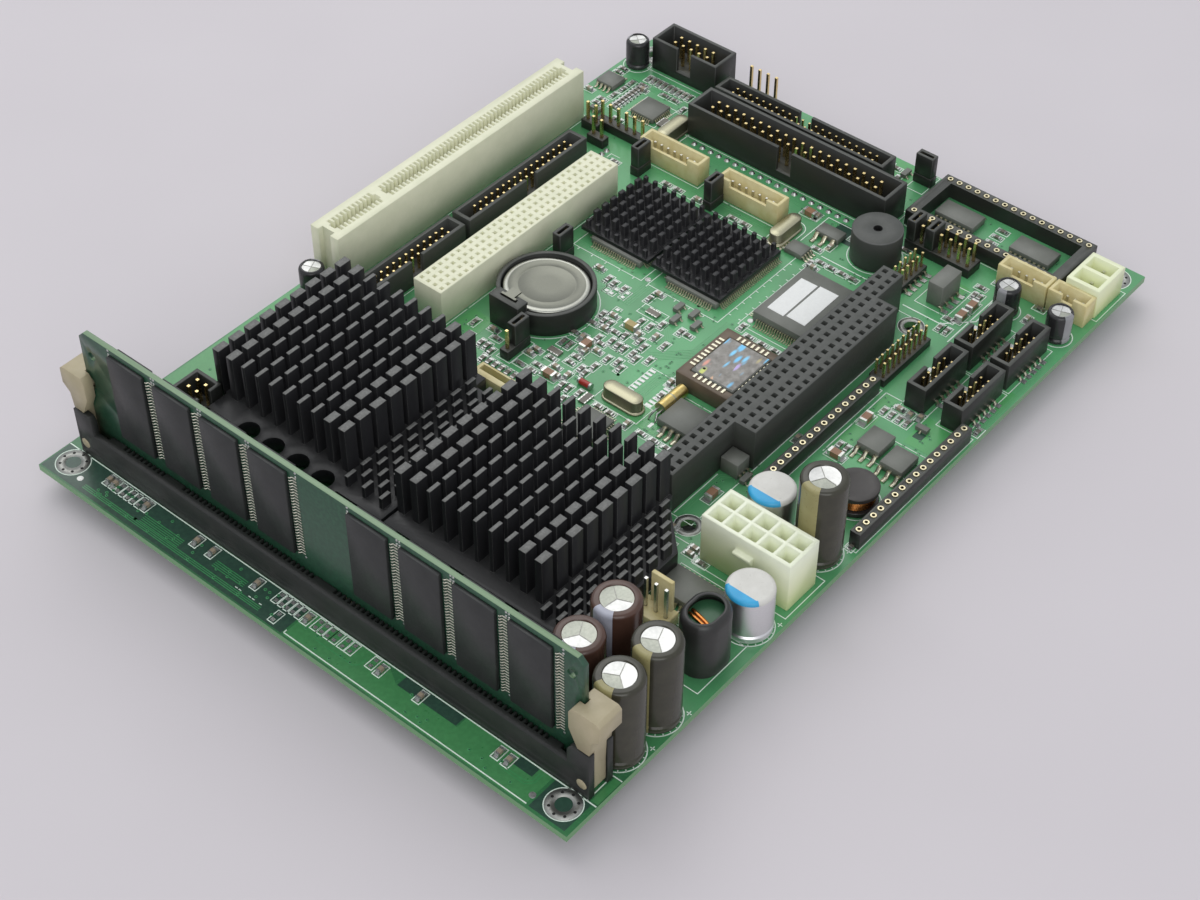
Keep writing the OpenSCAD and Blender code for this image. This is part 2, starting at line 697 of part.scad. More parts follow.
module wafer(c, l, n) {
  wall = 0.8;
  layer(0, 1.8) difference() {
    plate(c, wafer_w, l);
    holes_2d(wafer_pin_at, fine_pin_w, pin_play);
  }
  layer(1.8, wafer_h - 1.8) difference() {
    plate(c, wafer_w, l);
    plate(c, wafer_w - 2*wall, l - 2*wall);
    plate([c[0] - wafer_w/2, c[1]], 3*wall, l - 7);
  }
  layer(1.8, wafer_h - 3.6) plate([c[0] - wafer_w/2 + wall/2, c[1]], wall, l - 6.8);
}
module wafer_connectors() {
  color("#d9c48e") {
    for (k = [0:3]) wafer(wafer_at[k], wafer_l[k], wafer_pin_n(k));
    layer(0, 3.6) difference() {
      plate(fine_wafer_at, 3.6, 10.4);
      plate([fine_wafer_at[0] + 0.5, fine_wafer_at[1]], 1.6, 8.8);
    }
  }
}
module wafer_pins() { color("silver") layer(0, wafer_h - 1.4) dots(wafer_pin_at, fine_pin_w); }

// Sockets with turned contacts

contact_d = 1.35;
module chip_socket() {
  color("#242526") layer(0, chip_socket_h) difference() {
    union() {
      for (s = [-1, 1])
        plate([chip_socket_at[0] + s*chip_socket_rows/2, chip_socket_at[1]], 2.54, 16*pitch + 0.6);
      for (s = [-1, 1])
        plate([chip_socket_at[0], chip_socket_at[1] + s*(8*pitch - 1)], chip_socket_rows, 2.6);
    }
    for (p = chip_contact_at) translate(p) circle(d = contact_d + 2*pin_play);
  }
}
module contact_strips() {
  color("#242526") layer(0, strip_h) difference() {
    for (s = [-1, 1]) plate([strip_at[0], strip_at[1] + s*strip_rows/2], 16*pitch, 2.5);
    for (p = strip_contact_at) translate(p) circle(d = contact_d + 2*pin_play);
  }
}
module turned_contact(p, h) {
  translate([p[0], p[1], board_t]) difference() {
    union() {
      cylinder(d = contact_d, h = h + 0.15);
      translate([-fine_pin_w/2, -fine_pin_w/2, -board_t - tail_l])
        cube([fine_pin_w, fine_pin_w, board_t + tail_l + 1]);
    }
    translate([0, 0, h - 3.2]) cylinder(d = 0.75, h = 4);
  }
}
module turned_contacts() {
  color("#c9b36a") {
    for (p = chip_contact_at) turned_contact(p, chip_socket_h);
    for (p = strip_contact_at) turned_contact(p, strip_h);
  }
}

// Chips and small packages

module buzzer() {
  color("#2a2b2c") {
    difference() {
      round_can(buzzer_at, buzzer_d, buzzer_h);
      round_can(buzzer_at, 2, 4, buzzer_h - 2);
    }
    translate([0, 0, -tail_l]) linear_extrude(tail_l + board_t + 1) dots(buzzer_lead_at, fine_pin_w);
  }
}
carrier_at = [12.6, -21.7];
carrier_l = 18.4;
carrier_w = 16.2;
module carrier_socket() {
  color("#6d5240") {
    layer(0, 1.4) plate(carrier_at, carrier_l, carrier_w);
    layer(1.4, 3.1) difference() {
      plate(carrier_at, carrier_l, carrier_w);
      plate(carrier_at, carrier_l - 4.4, carrier_w - 4.4);
    }
  }
}
module carrier_chip() {
  color("#3a3a3d") layer(1.4, 3.3) plate(carrier_at, carrier_l - 4.8, carrier_w - 4.8);
}
module support_chip() {
  color("#2e2e30") layer(0.15, 2.9) plate([41.2, -20.5], 20, 14);
}
// Flat packages: centre, length in X, length in Y, height
chip_list = [
  [[-4.5, -22.3], 8.4, 8, 2.2], [[-42.1, -54.2], 7.5, 12.8, 2.3], [[right - 24.8, 53.3], 7, 7, 1.5],
  [[right - 21.7, 68.8], 5, 5.4, 1.6], [[right - 44.6, -6.9], 3.9, 4.9, 1.6],
  [[right - 35, -9.4], 3.6, 6.5, 1.7], [[right - 10.4, -29], 5.6, 10.6, 2],
  [[right - 10.4, -49.6], 5.6, 10.6, 2], [[-8.6, -39.25], 4.2, 4.5, 4.2],
  [[right - 36, -41.5], 7.7, 4, 6.3], [[-19.1, -7.7], 8.6, 8, 1.9]
];
module small_chips() {
  color("#2e2e30") for (q = chip_list) layer(0, q[3]) plate(q[0], q[1], q[2]);
}
transistor_at = [[16.2, -57.8], [14.4, -64.9]];
module power_transistors() {
  color("#2e2e30") for (c = transistor_at) layer(0.2, 2.2) plate(c, 6.4, 5.6);
}
// A flat metal can with round ends, along X or Y
module can_2d(c, l, w) {
  hull() for (s = [-1, 1]) translate([c[0] + s*(l > w ? (l - w)/2 : 0), c[1] + s*(w > l ? (w - l)/2 : 0)])
    circle(d = min(l, w), $fn = 32);
}
crystal_rim_t = 0.6;
crystal_rim_w = 0.45;
crystal_list = [[[-8.1, -8.5], 4.4, 11], [[right - 41.6, -1], 11, 4.4], [[right - 28.7, 43.1], 11, 4.4]];
module crystal_cans() {
  color("silver") {
    for (q = crystal_list) {
      layer(0, crystal_rim_t) can_2d(q[0], q[1], q[2]);
      layer(0, 3.5) can_2d(q[0], q[1] - 2*crystal_rim_w, q[2] - 2*crystal_rim_w);
    }
    translate([-5.6, -16.7, board_t + 1.5]) rotate([0, 90, 0]) cylinder(d = 3, h = 8);
  }
}

// Power and fan connectors

power_l = 9.6;
power_w = 5*power_pitch + 1;
power_cell = 3.4;
module power_connector() {
  color("#eae4cc") {
    layer(0, 4) difference() {
      plate(power_at, power_l, power_w);
      holes_2d(power_pin_at, pin_w, pin_play);
    }
    layer(4, power_h - 4) difference() {
      plate(power_at, power_l, power_w);
      dots(power_pin_at, power_cell);
    }
    translate([power_at[0] - power_l/2, power_at[1] + 2.2, board_t + 6.5]) rotate([90, 0, 0])
      linear_extrude(4.4) polygon([[0, 0], [-1.4, 2.3], [-1.4, 2.9], [0, 2.9]]);
  }
}
module power_pins() {
  color("gold") {
    pins(power_pin_at, pin_w, power_h - 3);
    pins(disk_power_pin_at, pin_w, 5.4);
    pins(fan_pin_at, pin_w, 10.8);
  }
}
module disk_power_connector() {
  l = 11.4;
  w = 8.4;
  color("#ece9dc") {
    layer(0, 2) difference() {
      plate(disk_power_at, l, w);
      holes_2d(disk_power_pin_at, pin_w, pin_play);
    }
    layer(2, 5.7) difference() {
      plate(disk_power_at, l, w);
      for (s = [-1, 1]) plate([disk_power_at[0] + s*2.54, disk_power_at[1]], 4, w - 2);
    }
  }
}
module fan_header() {
  color("#e9e5cf") {
    layer(0, 3) difference() {
      plate(fan_at, 5.2, 3*pitch);
      holes_2d(fan_pin_at, pin_w, pin_play);
    }
    layer(3, 8.2) plate([fan_at[0] + 2.1, fan_at[1]], 1, 5.2);
  }
}

// Capacitors and coils

module capacitor(c, d, h, lead_at, groove_z) {
  translate([c[0], c[1], board_t]) rotate_extrude()
    polygon([[0, 0], [d/2 - 0.3, 0], [d/2, 0.3], [d/2, groove_z], [d/2 - 0.35, groove_z + 0.4],
             [d/2, groove_z + 0.8], [d/2, h - 0.6], [d/2 - 0.6, h], [0, h]]);
  translate([0, 0, -tail_l]) linear_extrude(tail_l + board_t + 0.5) dots(lead_at, fine_pin_w);
}
module dark_capacitors() {
  color("#3b3a2c") for (c = bulk_dark_at) capacitor(c, bulk_d, bulk_h, leads([c], lead_pitch), 1.6);
}
module brown_capacitors() {
  color("#4a2f28") for (c = bulk_brown_at) capacitor(c, bulk_d, bulk_h, leads([c], lead_pitch), 1.6);
}
module polymer_capacitors() {
  color("silver") for (c = polymer_at) capacitor(c, bulk_d, polymer_h, leads([c], lead_pitch), 1.6);
}
module small_capacitors() {
  color("#2b2b2d") for (c = small_cap_at)
    capacitor(c, small_cap_d, small_cap_h, leads([c], lead_pitch/2), 1);
}
drum_at = [0.3, -63.8];
module drum_inductor() {
  color("#2a2523") translate([drum_at[0], drum_at[1], board_t]) rotate_extrude()
    polygon([[0, 0], [4.9, 0], [4.9, 1.2], [3.9, 1.2], [3.9, 4], [4.9, 4], [4.9, 5.2], [0, 5.2]]);
}
choke_at = [left + 48.8, front + 7.1];
choke_l = 11;
choke_w = 9;
choke_h = 14.4;
module choke_sleeve() {
  color("#1f1f21") layer(0, choke_h) difference() {
    hull() for (s = [-1, 1]) translate([choke_at[0] + s*(choke_l - choke_w)/2, choke_at[1]])
      circle(d = choke_w, $fn = 32);
    hull() for (s = [-1, 1]) translate([choke_at[0] + s*(choke_l - choke_w)/2, choke_at[1]])
      circle(d = choke_w - 1.2, $fn = 32);
  }
}
module choke_core() {
  color("#2f7a4d") layer(0, choke_h - 2.4)
    hull() for (s = [-1, 1]) translate([choke_at[0] + s*(choke_l - choke_w)/2, choke_at[1]])
      circle(d = choke_w - 1.6, $fn = 32);
}

// Memory card below the board

card_y = 14;
card_lift = 0.1;
card_play = 0.1;
card_in_x = right + card_out - card_depth;
card_socket_l = card_l + 4.6;
card_block_x = card_in_x - 3.8;
card_block_l = 9.5;
card_rail_end = right - 3.6;
card_rail_h = card_socket_h - tail_l - 0.25;
module card_socket() {
  color("#1f2021") difference() {
    union() {
      translate([card_block_x, card_y - card_socket_l/2, -card_socket_h])
        cube([card_block_l, card_socket_l, card_socket_h]);
      for (s = [-1, 1])
        translate([card_block_x + 1, card_y + s*(card_socket_l - card_rail_w)/2 - card_rail_w/2, -card_socket_h])
          cube([card_rail_end - card_block_x - 1, card_rail_w, card_rail_h]);
    }
    translate([card_in_x - card_play, card_y - card_l/2 - card_play, -card_socket_h + card_lift - card_play])
      cube([card_depth + cut, card_l + 2*card_play, card_t + 2*card_play]);
  }
}
card_rail_w = 2.3;
module memory_card() {
  color("#3a3b3e") translate([card_in_x, card_y - card_l/2, -card_socket_h + card_lift])
    cube([card_depth, card_l, card_t]);
}

board();
memory_socket();
memory_contacts();
latch_rear();
latch_front();
memory_module();
memory_chips();
heatsink_rear();
heatsink_front();
bridge_chips();
controller_heatsinks();
controller_chips();
expansion_slot();
expansion_contacts();
ribbon_headers();
ribbon_pins();
plus_connector();
plus_contacts();
stack_connector();
stack_contacts();
battery_holder();
coin_cell();
battery_clip();
drive_header();
drive_pins();
slim_drive_header();
slim_drive_pins();
box_headers();
box_header_pins();
pin_bases();
strip_pins();
jumper_caps();
wafer_connectors();
wafer_pins();
chip_socket();
contact_strips();
turned_contacts();
buzzer();
carrier_socket();
carrier_chip();
support_chip();
small_chips();
power_transistors();
crystal_cans();
power_connector();
power_pins();
disk_power_connector();
dark_capacitors();
brown_capacitors();
polymer_capacitors();
small_capacitors();
drum_inductor();
choke_sleeve();
choke_core();
fan_header();
surface_headers();
surface_header_pins();
card_socket();
memory_card();
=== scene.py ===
import math
import random
import bmesh
import bpy
from mathutils import Matrix, Vector


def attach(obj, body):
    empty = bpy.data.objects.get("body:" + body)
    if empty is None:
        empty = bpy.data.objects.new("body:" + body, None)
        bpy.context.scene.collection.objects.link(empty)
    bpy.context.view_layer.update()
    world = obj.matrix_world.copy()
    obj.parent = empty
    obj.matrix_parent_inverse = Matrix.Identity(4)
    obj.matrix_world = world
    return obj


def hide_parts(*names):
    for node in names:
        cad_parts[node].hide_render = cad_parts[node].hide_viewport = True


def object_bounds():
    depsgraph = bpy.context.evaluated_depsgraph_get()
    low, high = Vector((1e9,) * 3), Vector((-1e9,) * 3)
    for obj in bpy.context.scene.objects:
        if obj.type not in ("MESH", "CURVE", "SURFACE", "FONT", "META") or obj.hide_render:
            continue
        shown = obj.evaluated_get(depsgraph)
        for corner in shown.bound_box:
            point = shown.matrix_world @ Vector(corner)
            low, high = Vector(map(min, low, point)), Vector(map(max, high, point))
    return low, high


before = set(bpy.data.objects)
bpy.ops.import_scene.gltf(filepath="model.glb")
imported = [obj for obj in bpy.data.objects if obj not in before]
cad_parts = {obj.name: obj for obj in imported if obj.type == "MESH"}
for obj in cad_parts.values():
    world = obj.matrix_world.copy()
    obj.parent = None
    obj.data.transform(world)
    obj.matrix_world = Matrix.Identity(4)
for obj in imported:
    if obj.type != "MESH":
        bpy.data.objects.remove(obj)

cad_low, cad_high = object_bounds()

# Lengths are written in millimetres and become metres where a mesh is made.
MM = 0.001
BOARD_TOP = 1.6
PITCH = 2.54
FULL = 2 * math.pi
# Middles of round parts, of the buzzer and of the square chip in its socket
DARK_CANS = [(-80.4, -67.6), (-69.5, -67.6), (-16.3, -66.4)]
BROWN_CANS = [(-77.8, -55.8), (-66.7, -55.5)]
POLYMER_CANS = [(-40.8, -67.525), (-17, -54.825)]
SMALL_CANS = [(-25.4, 68.4), (90.6, 68.8), (70.8, -54.825), (70.8, -68.425)]
DRUM = (0.3, -63.8)
CHOKE = (-52.8, -65.925)
COIN_CELL = (5.95, 25.6)
BUZZER = (67.4, -21.5)
CARRIER = (12.6, -21.7)


def add(name, data):
    made = bpy.data.objects.new(name, data)
    bpy.context.scene.collection.objects.link(made)
    return made


# Camera, at the photograph's viewing angle

def make_camera():
    eye = Vector((-278.85, -229.75, 335.58)) * MM
    ahead = Vector((0.5451, 0.4532, -0.7053)).normalized()
    right = Vector((0.6429, -0.7659, 0.0048)).normalized()
    up = right.cross(ahead).normalized()
    right = ahead.cross(up)
    data = bpy.data.cameras.new("camera")
    data.lens = 67.2
    data.sensor_width = 36
    data.shift_x = -0.0076
    data.shift_y = -0.0011
    data.clip_start = 0.01
    data.clip_end = 20
    camera = add("camera", data)
    turn = Matrix((right, up, -ahead)).transposed().to_4x4()
    camera.matrix_world = Matrix.Translation(eye) @ turn
    bpy.context.scene.camera = camera


# Nodes, for materials and for geometry

def put(tree, kind, settings=None, sockets=None):
    """Adds a node: its settings first, then the values or links of its sockets."""
    made = tree.nodes.new(kind)
    for key, value in (settings or {}).items():
        if key == "stops":
            ramp = made.color_ramp
            while len(ramp.elements) < len(value):
                ramp.elements.new(0.5)
            for stop, (place, colour) in zip(ramp.elements, value):
                stop.position = place
                stop.color = (*colour, 1)
        else:
            setattr(made, key, value)
    for key, value in (sockets or {}).items():
        if isinstance(value, Wire):
            tree.links.new(value.out, made.inputs[key])
        elif isinstance(value, bpy.types.NodeSocket):
            tree.links.new(value, made.inputs[key])
        else:
            made.inputs[key].default_value = value
    return made


class Wire:
    """A number that runs through a node tree, with the arithmetic that the finishes need."""

    def __init__(self, tree, out):
        self.tree = tree
        self.out = out

    def operate(self, operation, first, second=0.0):
        made = put(self.tree, "ShaderNodeMath", {"operation": operation}, {0: first, 1: second})
        return Wire(self.tree, made.outputs[0])

    def __add__(self, other):
        return self.operate("ADD", self, other)

    def __rsub__(self, other):
        return self.operate("SUBTRACT", other, self)

    def __mul__(self, other):
        return self.operate("MULTIPLY", self, other)

    def __gt__(self, other):
        return self.operate("GREATER_THAN", self, other)

    def absolute(self):
        return self.operate("ABSOLUTE", self)

    def wave(self):
        return self.operate("SINE", self)


class Finish:
    """A procedural material on object coordinates."""

    def __init__(self, name, colour, rough=0.5, metal=0.0, coat=0.0, level=0.5):
        self.material = bpy.data.materials.new(name)
        self.material.use_nodes = True
        self.tree = self.material.node_tree
        self.shader = self.tree.nodes["Principled BSDF"]
        for socket, value in (
            ("Base Color", (*colour, 1)), ("Roughness", rough), ("Metallic", metal),
            ("Coat Weight", coat), ("Coat Roughness", 0.2), ("Specular IOR Level", level),
        ):
            self.shader.inputs[socket].default_value = value
        self.place = self.node("ShaderNodeTexCoord").outputs["Object"]

    def node(self, kind, settings=None, sockets=None):
        return put(self.tree, kind, settings, sockets)

    def axes(self, way=None):
        parts = self.node("ShaderNodeSeparateXYZ", None, {0: way or self.place})
        return [Wire(self.tree, parts.outputs[k]) for k in range(3)]

    def facing(self):
        """The upward part of the surface's direction, 1 on a level top."""
        return self.axes(self.node("ShaderNodeNewGeometry").outputs["True Normal"])[2]

    def stretched(self, scale):
        if not scale:
            return self.place
        return self.node("ShaderNodeMapping", None, {0: self.place, "Scale": scale}).outputs[0]

    def noise(self, size, detail=3.0, stretch=None):
        """Cloudy noise from 0 to 1, with features of that size in millimetres."""
        made = self.node("ShaderNodeTexNoise", {"normalize": True}, {
            "Vector": self.stretched(stretch), "Scale": 1 / (size * MM), "Detail": detail,
            "Roughness": 0.55,
        })
        return Wire(self.tree, made.outputs[0])

    def blend(self, amount, first, second):
        """A colour between two others."""
        sides = [(*c, 1) if isinstance(c, tuple) else c for c in (first, second)]
        made = self.node("ShaderNodeMix", {"data_type": "RGBA"}, {0: amount, 6: sides[0], 7: sides[1]})
        return made.outputs[2]

    def ramp(self, amount, low, high):
        """0 below low, 1 above high, straight between."""
        made = self.node("ShaderNodeMapRange", None, {"Value": amount, "From Min": low, "From Max": high})
        return Wire(self.tree, made.outputs[0])

    def done(self, colour, rough=None, height=None, depth=0.006):
        """Links the colour, the roughness and a relief of that depth in millimetres."""
        self.tree.links.new(colour, self.shader.inputs["Base Color"])
        if rough:
            self.tree.links.new(rough.out, self.shader.inputs["Roughness"])
        if height:
            sockets = {"Height": height, "Distance": depth * MM, "Strength": 1.0}
            made = self.node("ShaderNodeBump", None, sockets)
            self.tree.links.new(made.outputs[0], self.shader.inputs["Normal"])
        return self.material


# Finishes

def moulded(name, colour, shade, rough=0.45, grain=0.12, worn=None, side=1.0):
    """Moulded plastic: cloudy colour, a fine matt grain, paler rubbed tops, and sides darkened as painted
    shade.
    """
    made = Finish(name, colour, rough)
    body = made.blend(made.ramp(made.noise(3.0), 0.3, 0.75), colour, shade)
    if worn:
        dust = made.ramp(made.noise(0.35, 4.0), 0.62, 0.74) * made.ramp(made.facing(), 0.6, 0.95)
        body = made.blend(dust * 0.5, body, worn)
    # Painted shade: faces that are not level tops are darkened towards the colour times side
    if side < 1:
        low = tuple(c * side for c in colour)
        body = made.blend(made.ramp(made.facing(), 0.2, 0.8), low, body)
    return made.done(body, made.noise(0.8) * 0.18 + (rough - 0.09), made.noise(grain, 2.0))


def plated(name, colour, shade, rough=0.25, size=0.5, depth=0.004):
    """Metal plating with faint clouds and scratches."""
    made = Finish(name, colour, rough, metal=1.0)
    body = made.blend(made.ramp(made.noise(size), 0.35, 0.7), colour, shade)
    matt = made.noise(size * 0.7, 4.0) * 0.25 + (rough - 0.12)
    return made.done(body, matt, made.noise(0.15, 3.0, (1, 6, 1)), depth)


def brushed(name, colour, shade, rough, stretch, size=0.5):
    """Rolled or brushed metal."""
    made = Finish(name, colour, rough, metal=1.0)
    lines = made.noise(size, 4.0, stretch)
    body = made.blend(made.ramp(lines, 0.3, 0.75), colour, shade)
    return made.done(body, lines * 0.22 + (rough - 0.1), lines)


def natural_nylon():
    """Unfilled nylon, yellower towards its foot."""
    made = Finish("natural_nylon", (0.76, 0.78, 0.58), 0.38, coat=0.1)
    z = made.axes()[2]
    head = made.blend(made.ramp(made.noise(3.0), 0.3, 0.75), (0.86, 0.90, 0.72), (0.79, 0.83, 0.65))
    body = made.blend(made.ramp(z + made.noise(6.0) * 0.004, 0.006, 0.0155), (0.74, 0.78, 0.42), head)
    return made.done(body, made.noise(0.8) * 0.18 + 0.29, made.noise(0.2, 2.0))


def planes_and_painted_light(made):
    """1 over the board's inner planes, 0 on the margin beside the memory socket; this smooth ramp along X,
    which makes the board lighter towards +X, is partly the copper planes and partly painted light.
    """
    return made.ramp(made.axes()[0], -0.094, -0.02)


def solder_mask():
    """The lacquered face of the board, with the bare laminate at its edges."""
    made = Finish("solder_mask", (0.02, 0.17, 0.055), 0.34, coat=0.25)
    x, y, z = made.axes()
    cloud = made.ramp(made.noise(26.0, 2.0), 0.38, 0.62)
    # Darker margin, lighter inner face along a smooth ramp in X: partly the copper planes, partly painted
    # light
    margin = made.blend(cloud, (0.022, 0.115, 0.045), (0.032, 0.18, 0.06))
    inner = made.blend(cloud, (0.075, 0.285, 0.115), (0.11, 0.40, 0.165))
    face = made.blend(planes_and_painted_light(made), margin, inner)
    thread, layer = FULL / (0.5 * MM), FULL / (0.4 * MM)
    weave = (x * thread).wave() * (y * thread).wave()
    face = made.blend(made.ramp(made.noise(0.5, 4.0), 0.52, 0.7) * 0.3, face, (0.075, 0.32, 0.12))
    rim = made.blend(made.ramp((z * layer).wave(), -0.2, 0.8), (0.10, 0.26, 0.10), (0.17, 0.36, 0.16))
    body = made.blend(made.ramp(made.facing().absolute(), 0.5, 0.6), rim, face)
    return made.done(body, made.noise(4.0) * 0.16 + 0.26, weave * 0.25 + made.noise(1.3) * 0.8, 0.008)


def lacquer(name, colour, shade, rough=0.3, inner=None, rim=None):
    """Lacquer over copper; inner is its lighter colour over the inner planes, partly painted light, and rim
    that of a cut edge on top.
    """
    made = Finish(name, colour, rough, coat=0.3)
    body = made.blend(made.ramp(made.noise(0.9, 4.0), 0.4, 0.7), colour, shade)
    if inner:
        body = made.blend(planes_and_painted_light(made), body, inner)
    if rim:
        body = made.blend(made.ramp(made.facing(), 0.8, 0.95), body, rim)
    return made.done(body, made.noise(2.0) * 0.14 + (rough - 0.07), made.noise(0.7))


def anodised():
    """Black anodised aluminium; its level tops above about 8 mm are greyer, partly dust and wear, partly a
    painted reflection of the light.
    """
    made = Finish("anodised_fins", (0.012, 0.012, 0.012), 0.42, level=0.38)
    # Painted reflection with some wear: the level tops of the fins and pins turn grey
    top = made.ramp(made.facing(), 0.9, 0.98) * made.ramp(made.axes()[2], 0.0075, 0.0085)
    drawn = made.noise(0.22, 3.0, (1, 1, 0.08))
    body = made.blend(drawn, (0.009, 0.009, 0.010), (0.020, 0.020, 0.022))
    cut = made.blend(made.ramp(made.noise(0.6, 4.0), 0.45, 0.75), (0.13, 0.131, 0.125), (0.19, 0.19, 0.182))
    return made.done(made.blend(top, body, cut), drawn * 0.16 + top * 0.05 + 0.30, drawn, 0.012)


def foil_sticker():
    """A plain foil patch: grey, with slanting rows of pastel blobs where it catches the light."""
    made = Finish("foil_sticker", (0.3, 0.3, 0.28), 0.34, metal=0.3)
    cloud = made.blend(made.ramp(made.noise(1.6, 3.0), 0.3, 0.7), (0.16, 0.15, 0.135), (0.30, 0.29, 0.27))
    spots = made.node("ShaderNodeTexVoronoi", {"feature": "F1"}, {
        "Vector": made.stretched((0.42, 1.25, 1)), "Scale": 1 / (1.5 * MM),
    })
    parts = made.node("ShaderNodeSeparateColor", None, {0: spots.outputs["Color"]})
    hues = made.node("ShaderNodeValToRGB", {"stops": [
        (0.00, (0.16, 0.50, 0.80)), (0.42, (0.22, 0.58, 0.84)), (0.52, (0.50, 0.36, 0.66)),
        (0.64, (0.66, 0.28, 0.24)), (0.78, (0.66, 0.42, 0.26)), (0.95, (0.50, 0.66, 0.14)),
    ]}, {0: parts.outputs[0]})
    blob = Wire(made.tree, spots.outputs["Distance"])
    lit = (1.0 - made.ramp(blob, 0.24, 0.5)) * (Wire(made.tree, parts.outputs[1]) > 0.22)
    body = made.blend(lit, cloud, hues.outputs[0])
    return made.done(body, made.noise(0.6) * 0.2 + 0.24, made.noise(0.8), 0.01)


def paper():
    """Blank paper of a sticker."""
    made = Finish("blank_paper", (0.80, 0.81, 0.79), 0.7)
    tone = made.blend(made.noise(0.5, 4.0), (0.72, 0.73, 0.71), (0.84, 0.85, 0.83))
    return made.done(tone, None, made.noise(0.12, 3.0), 0.01)


# Finishes by kind: the material's name, two colours, the roughness, then what only that kind has

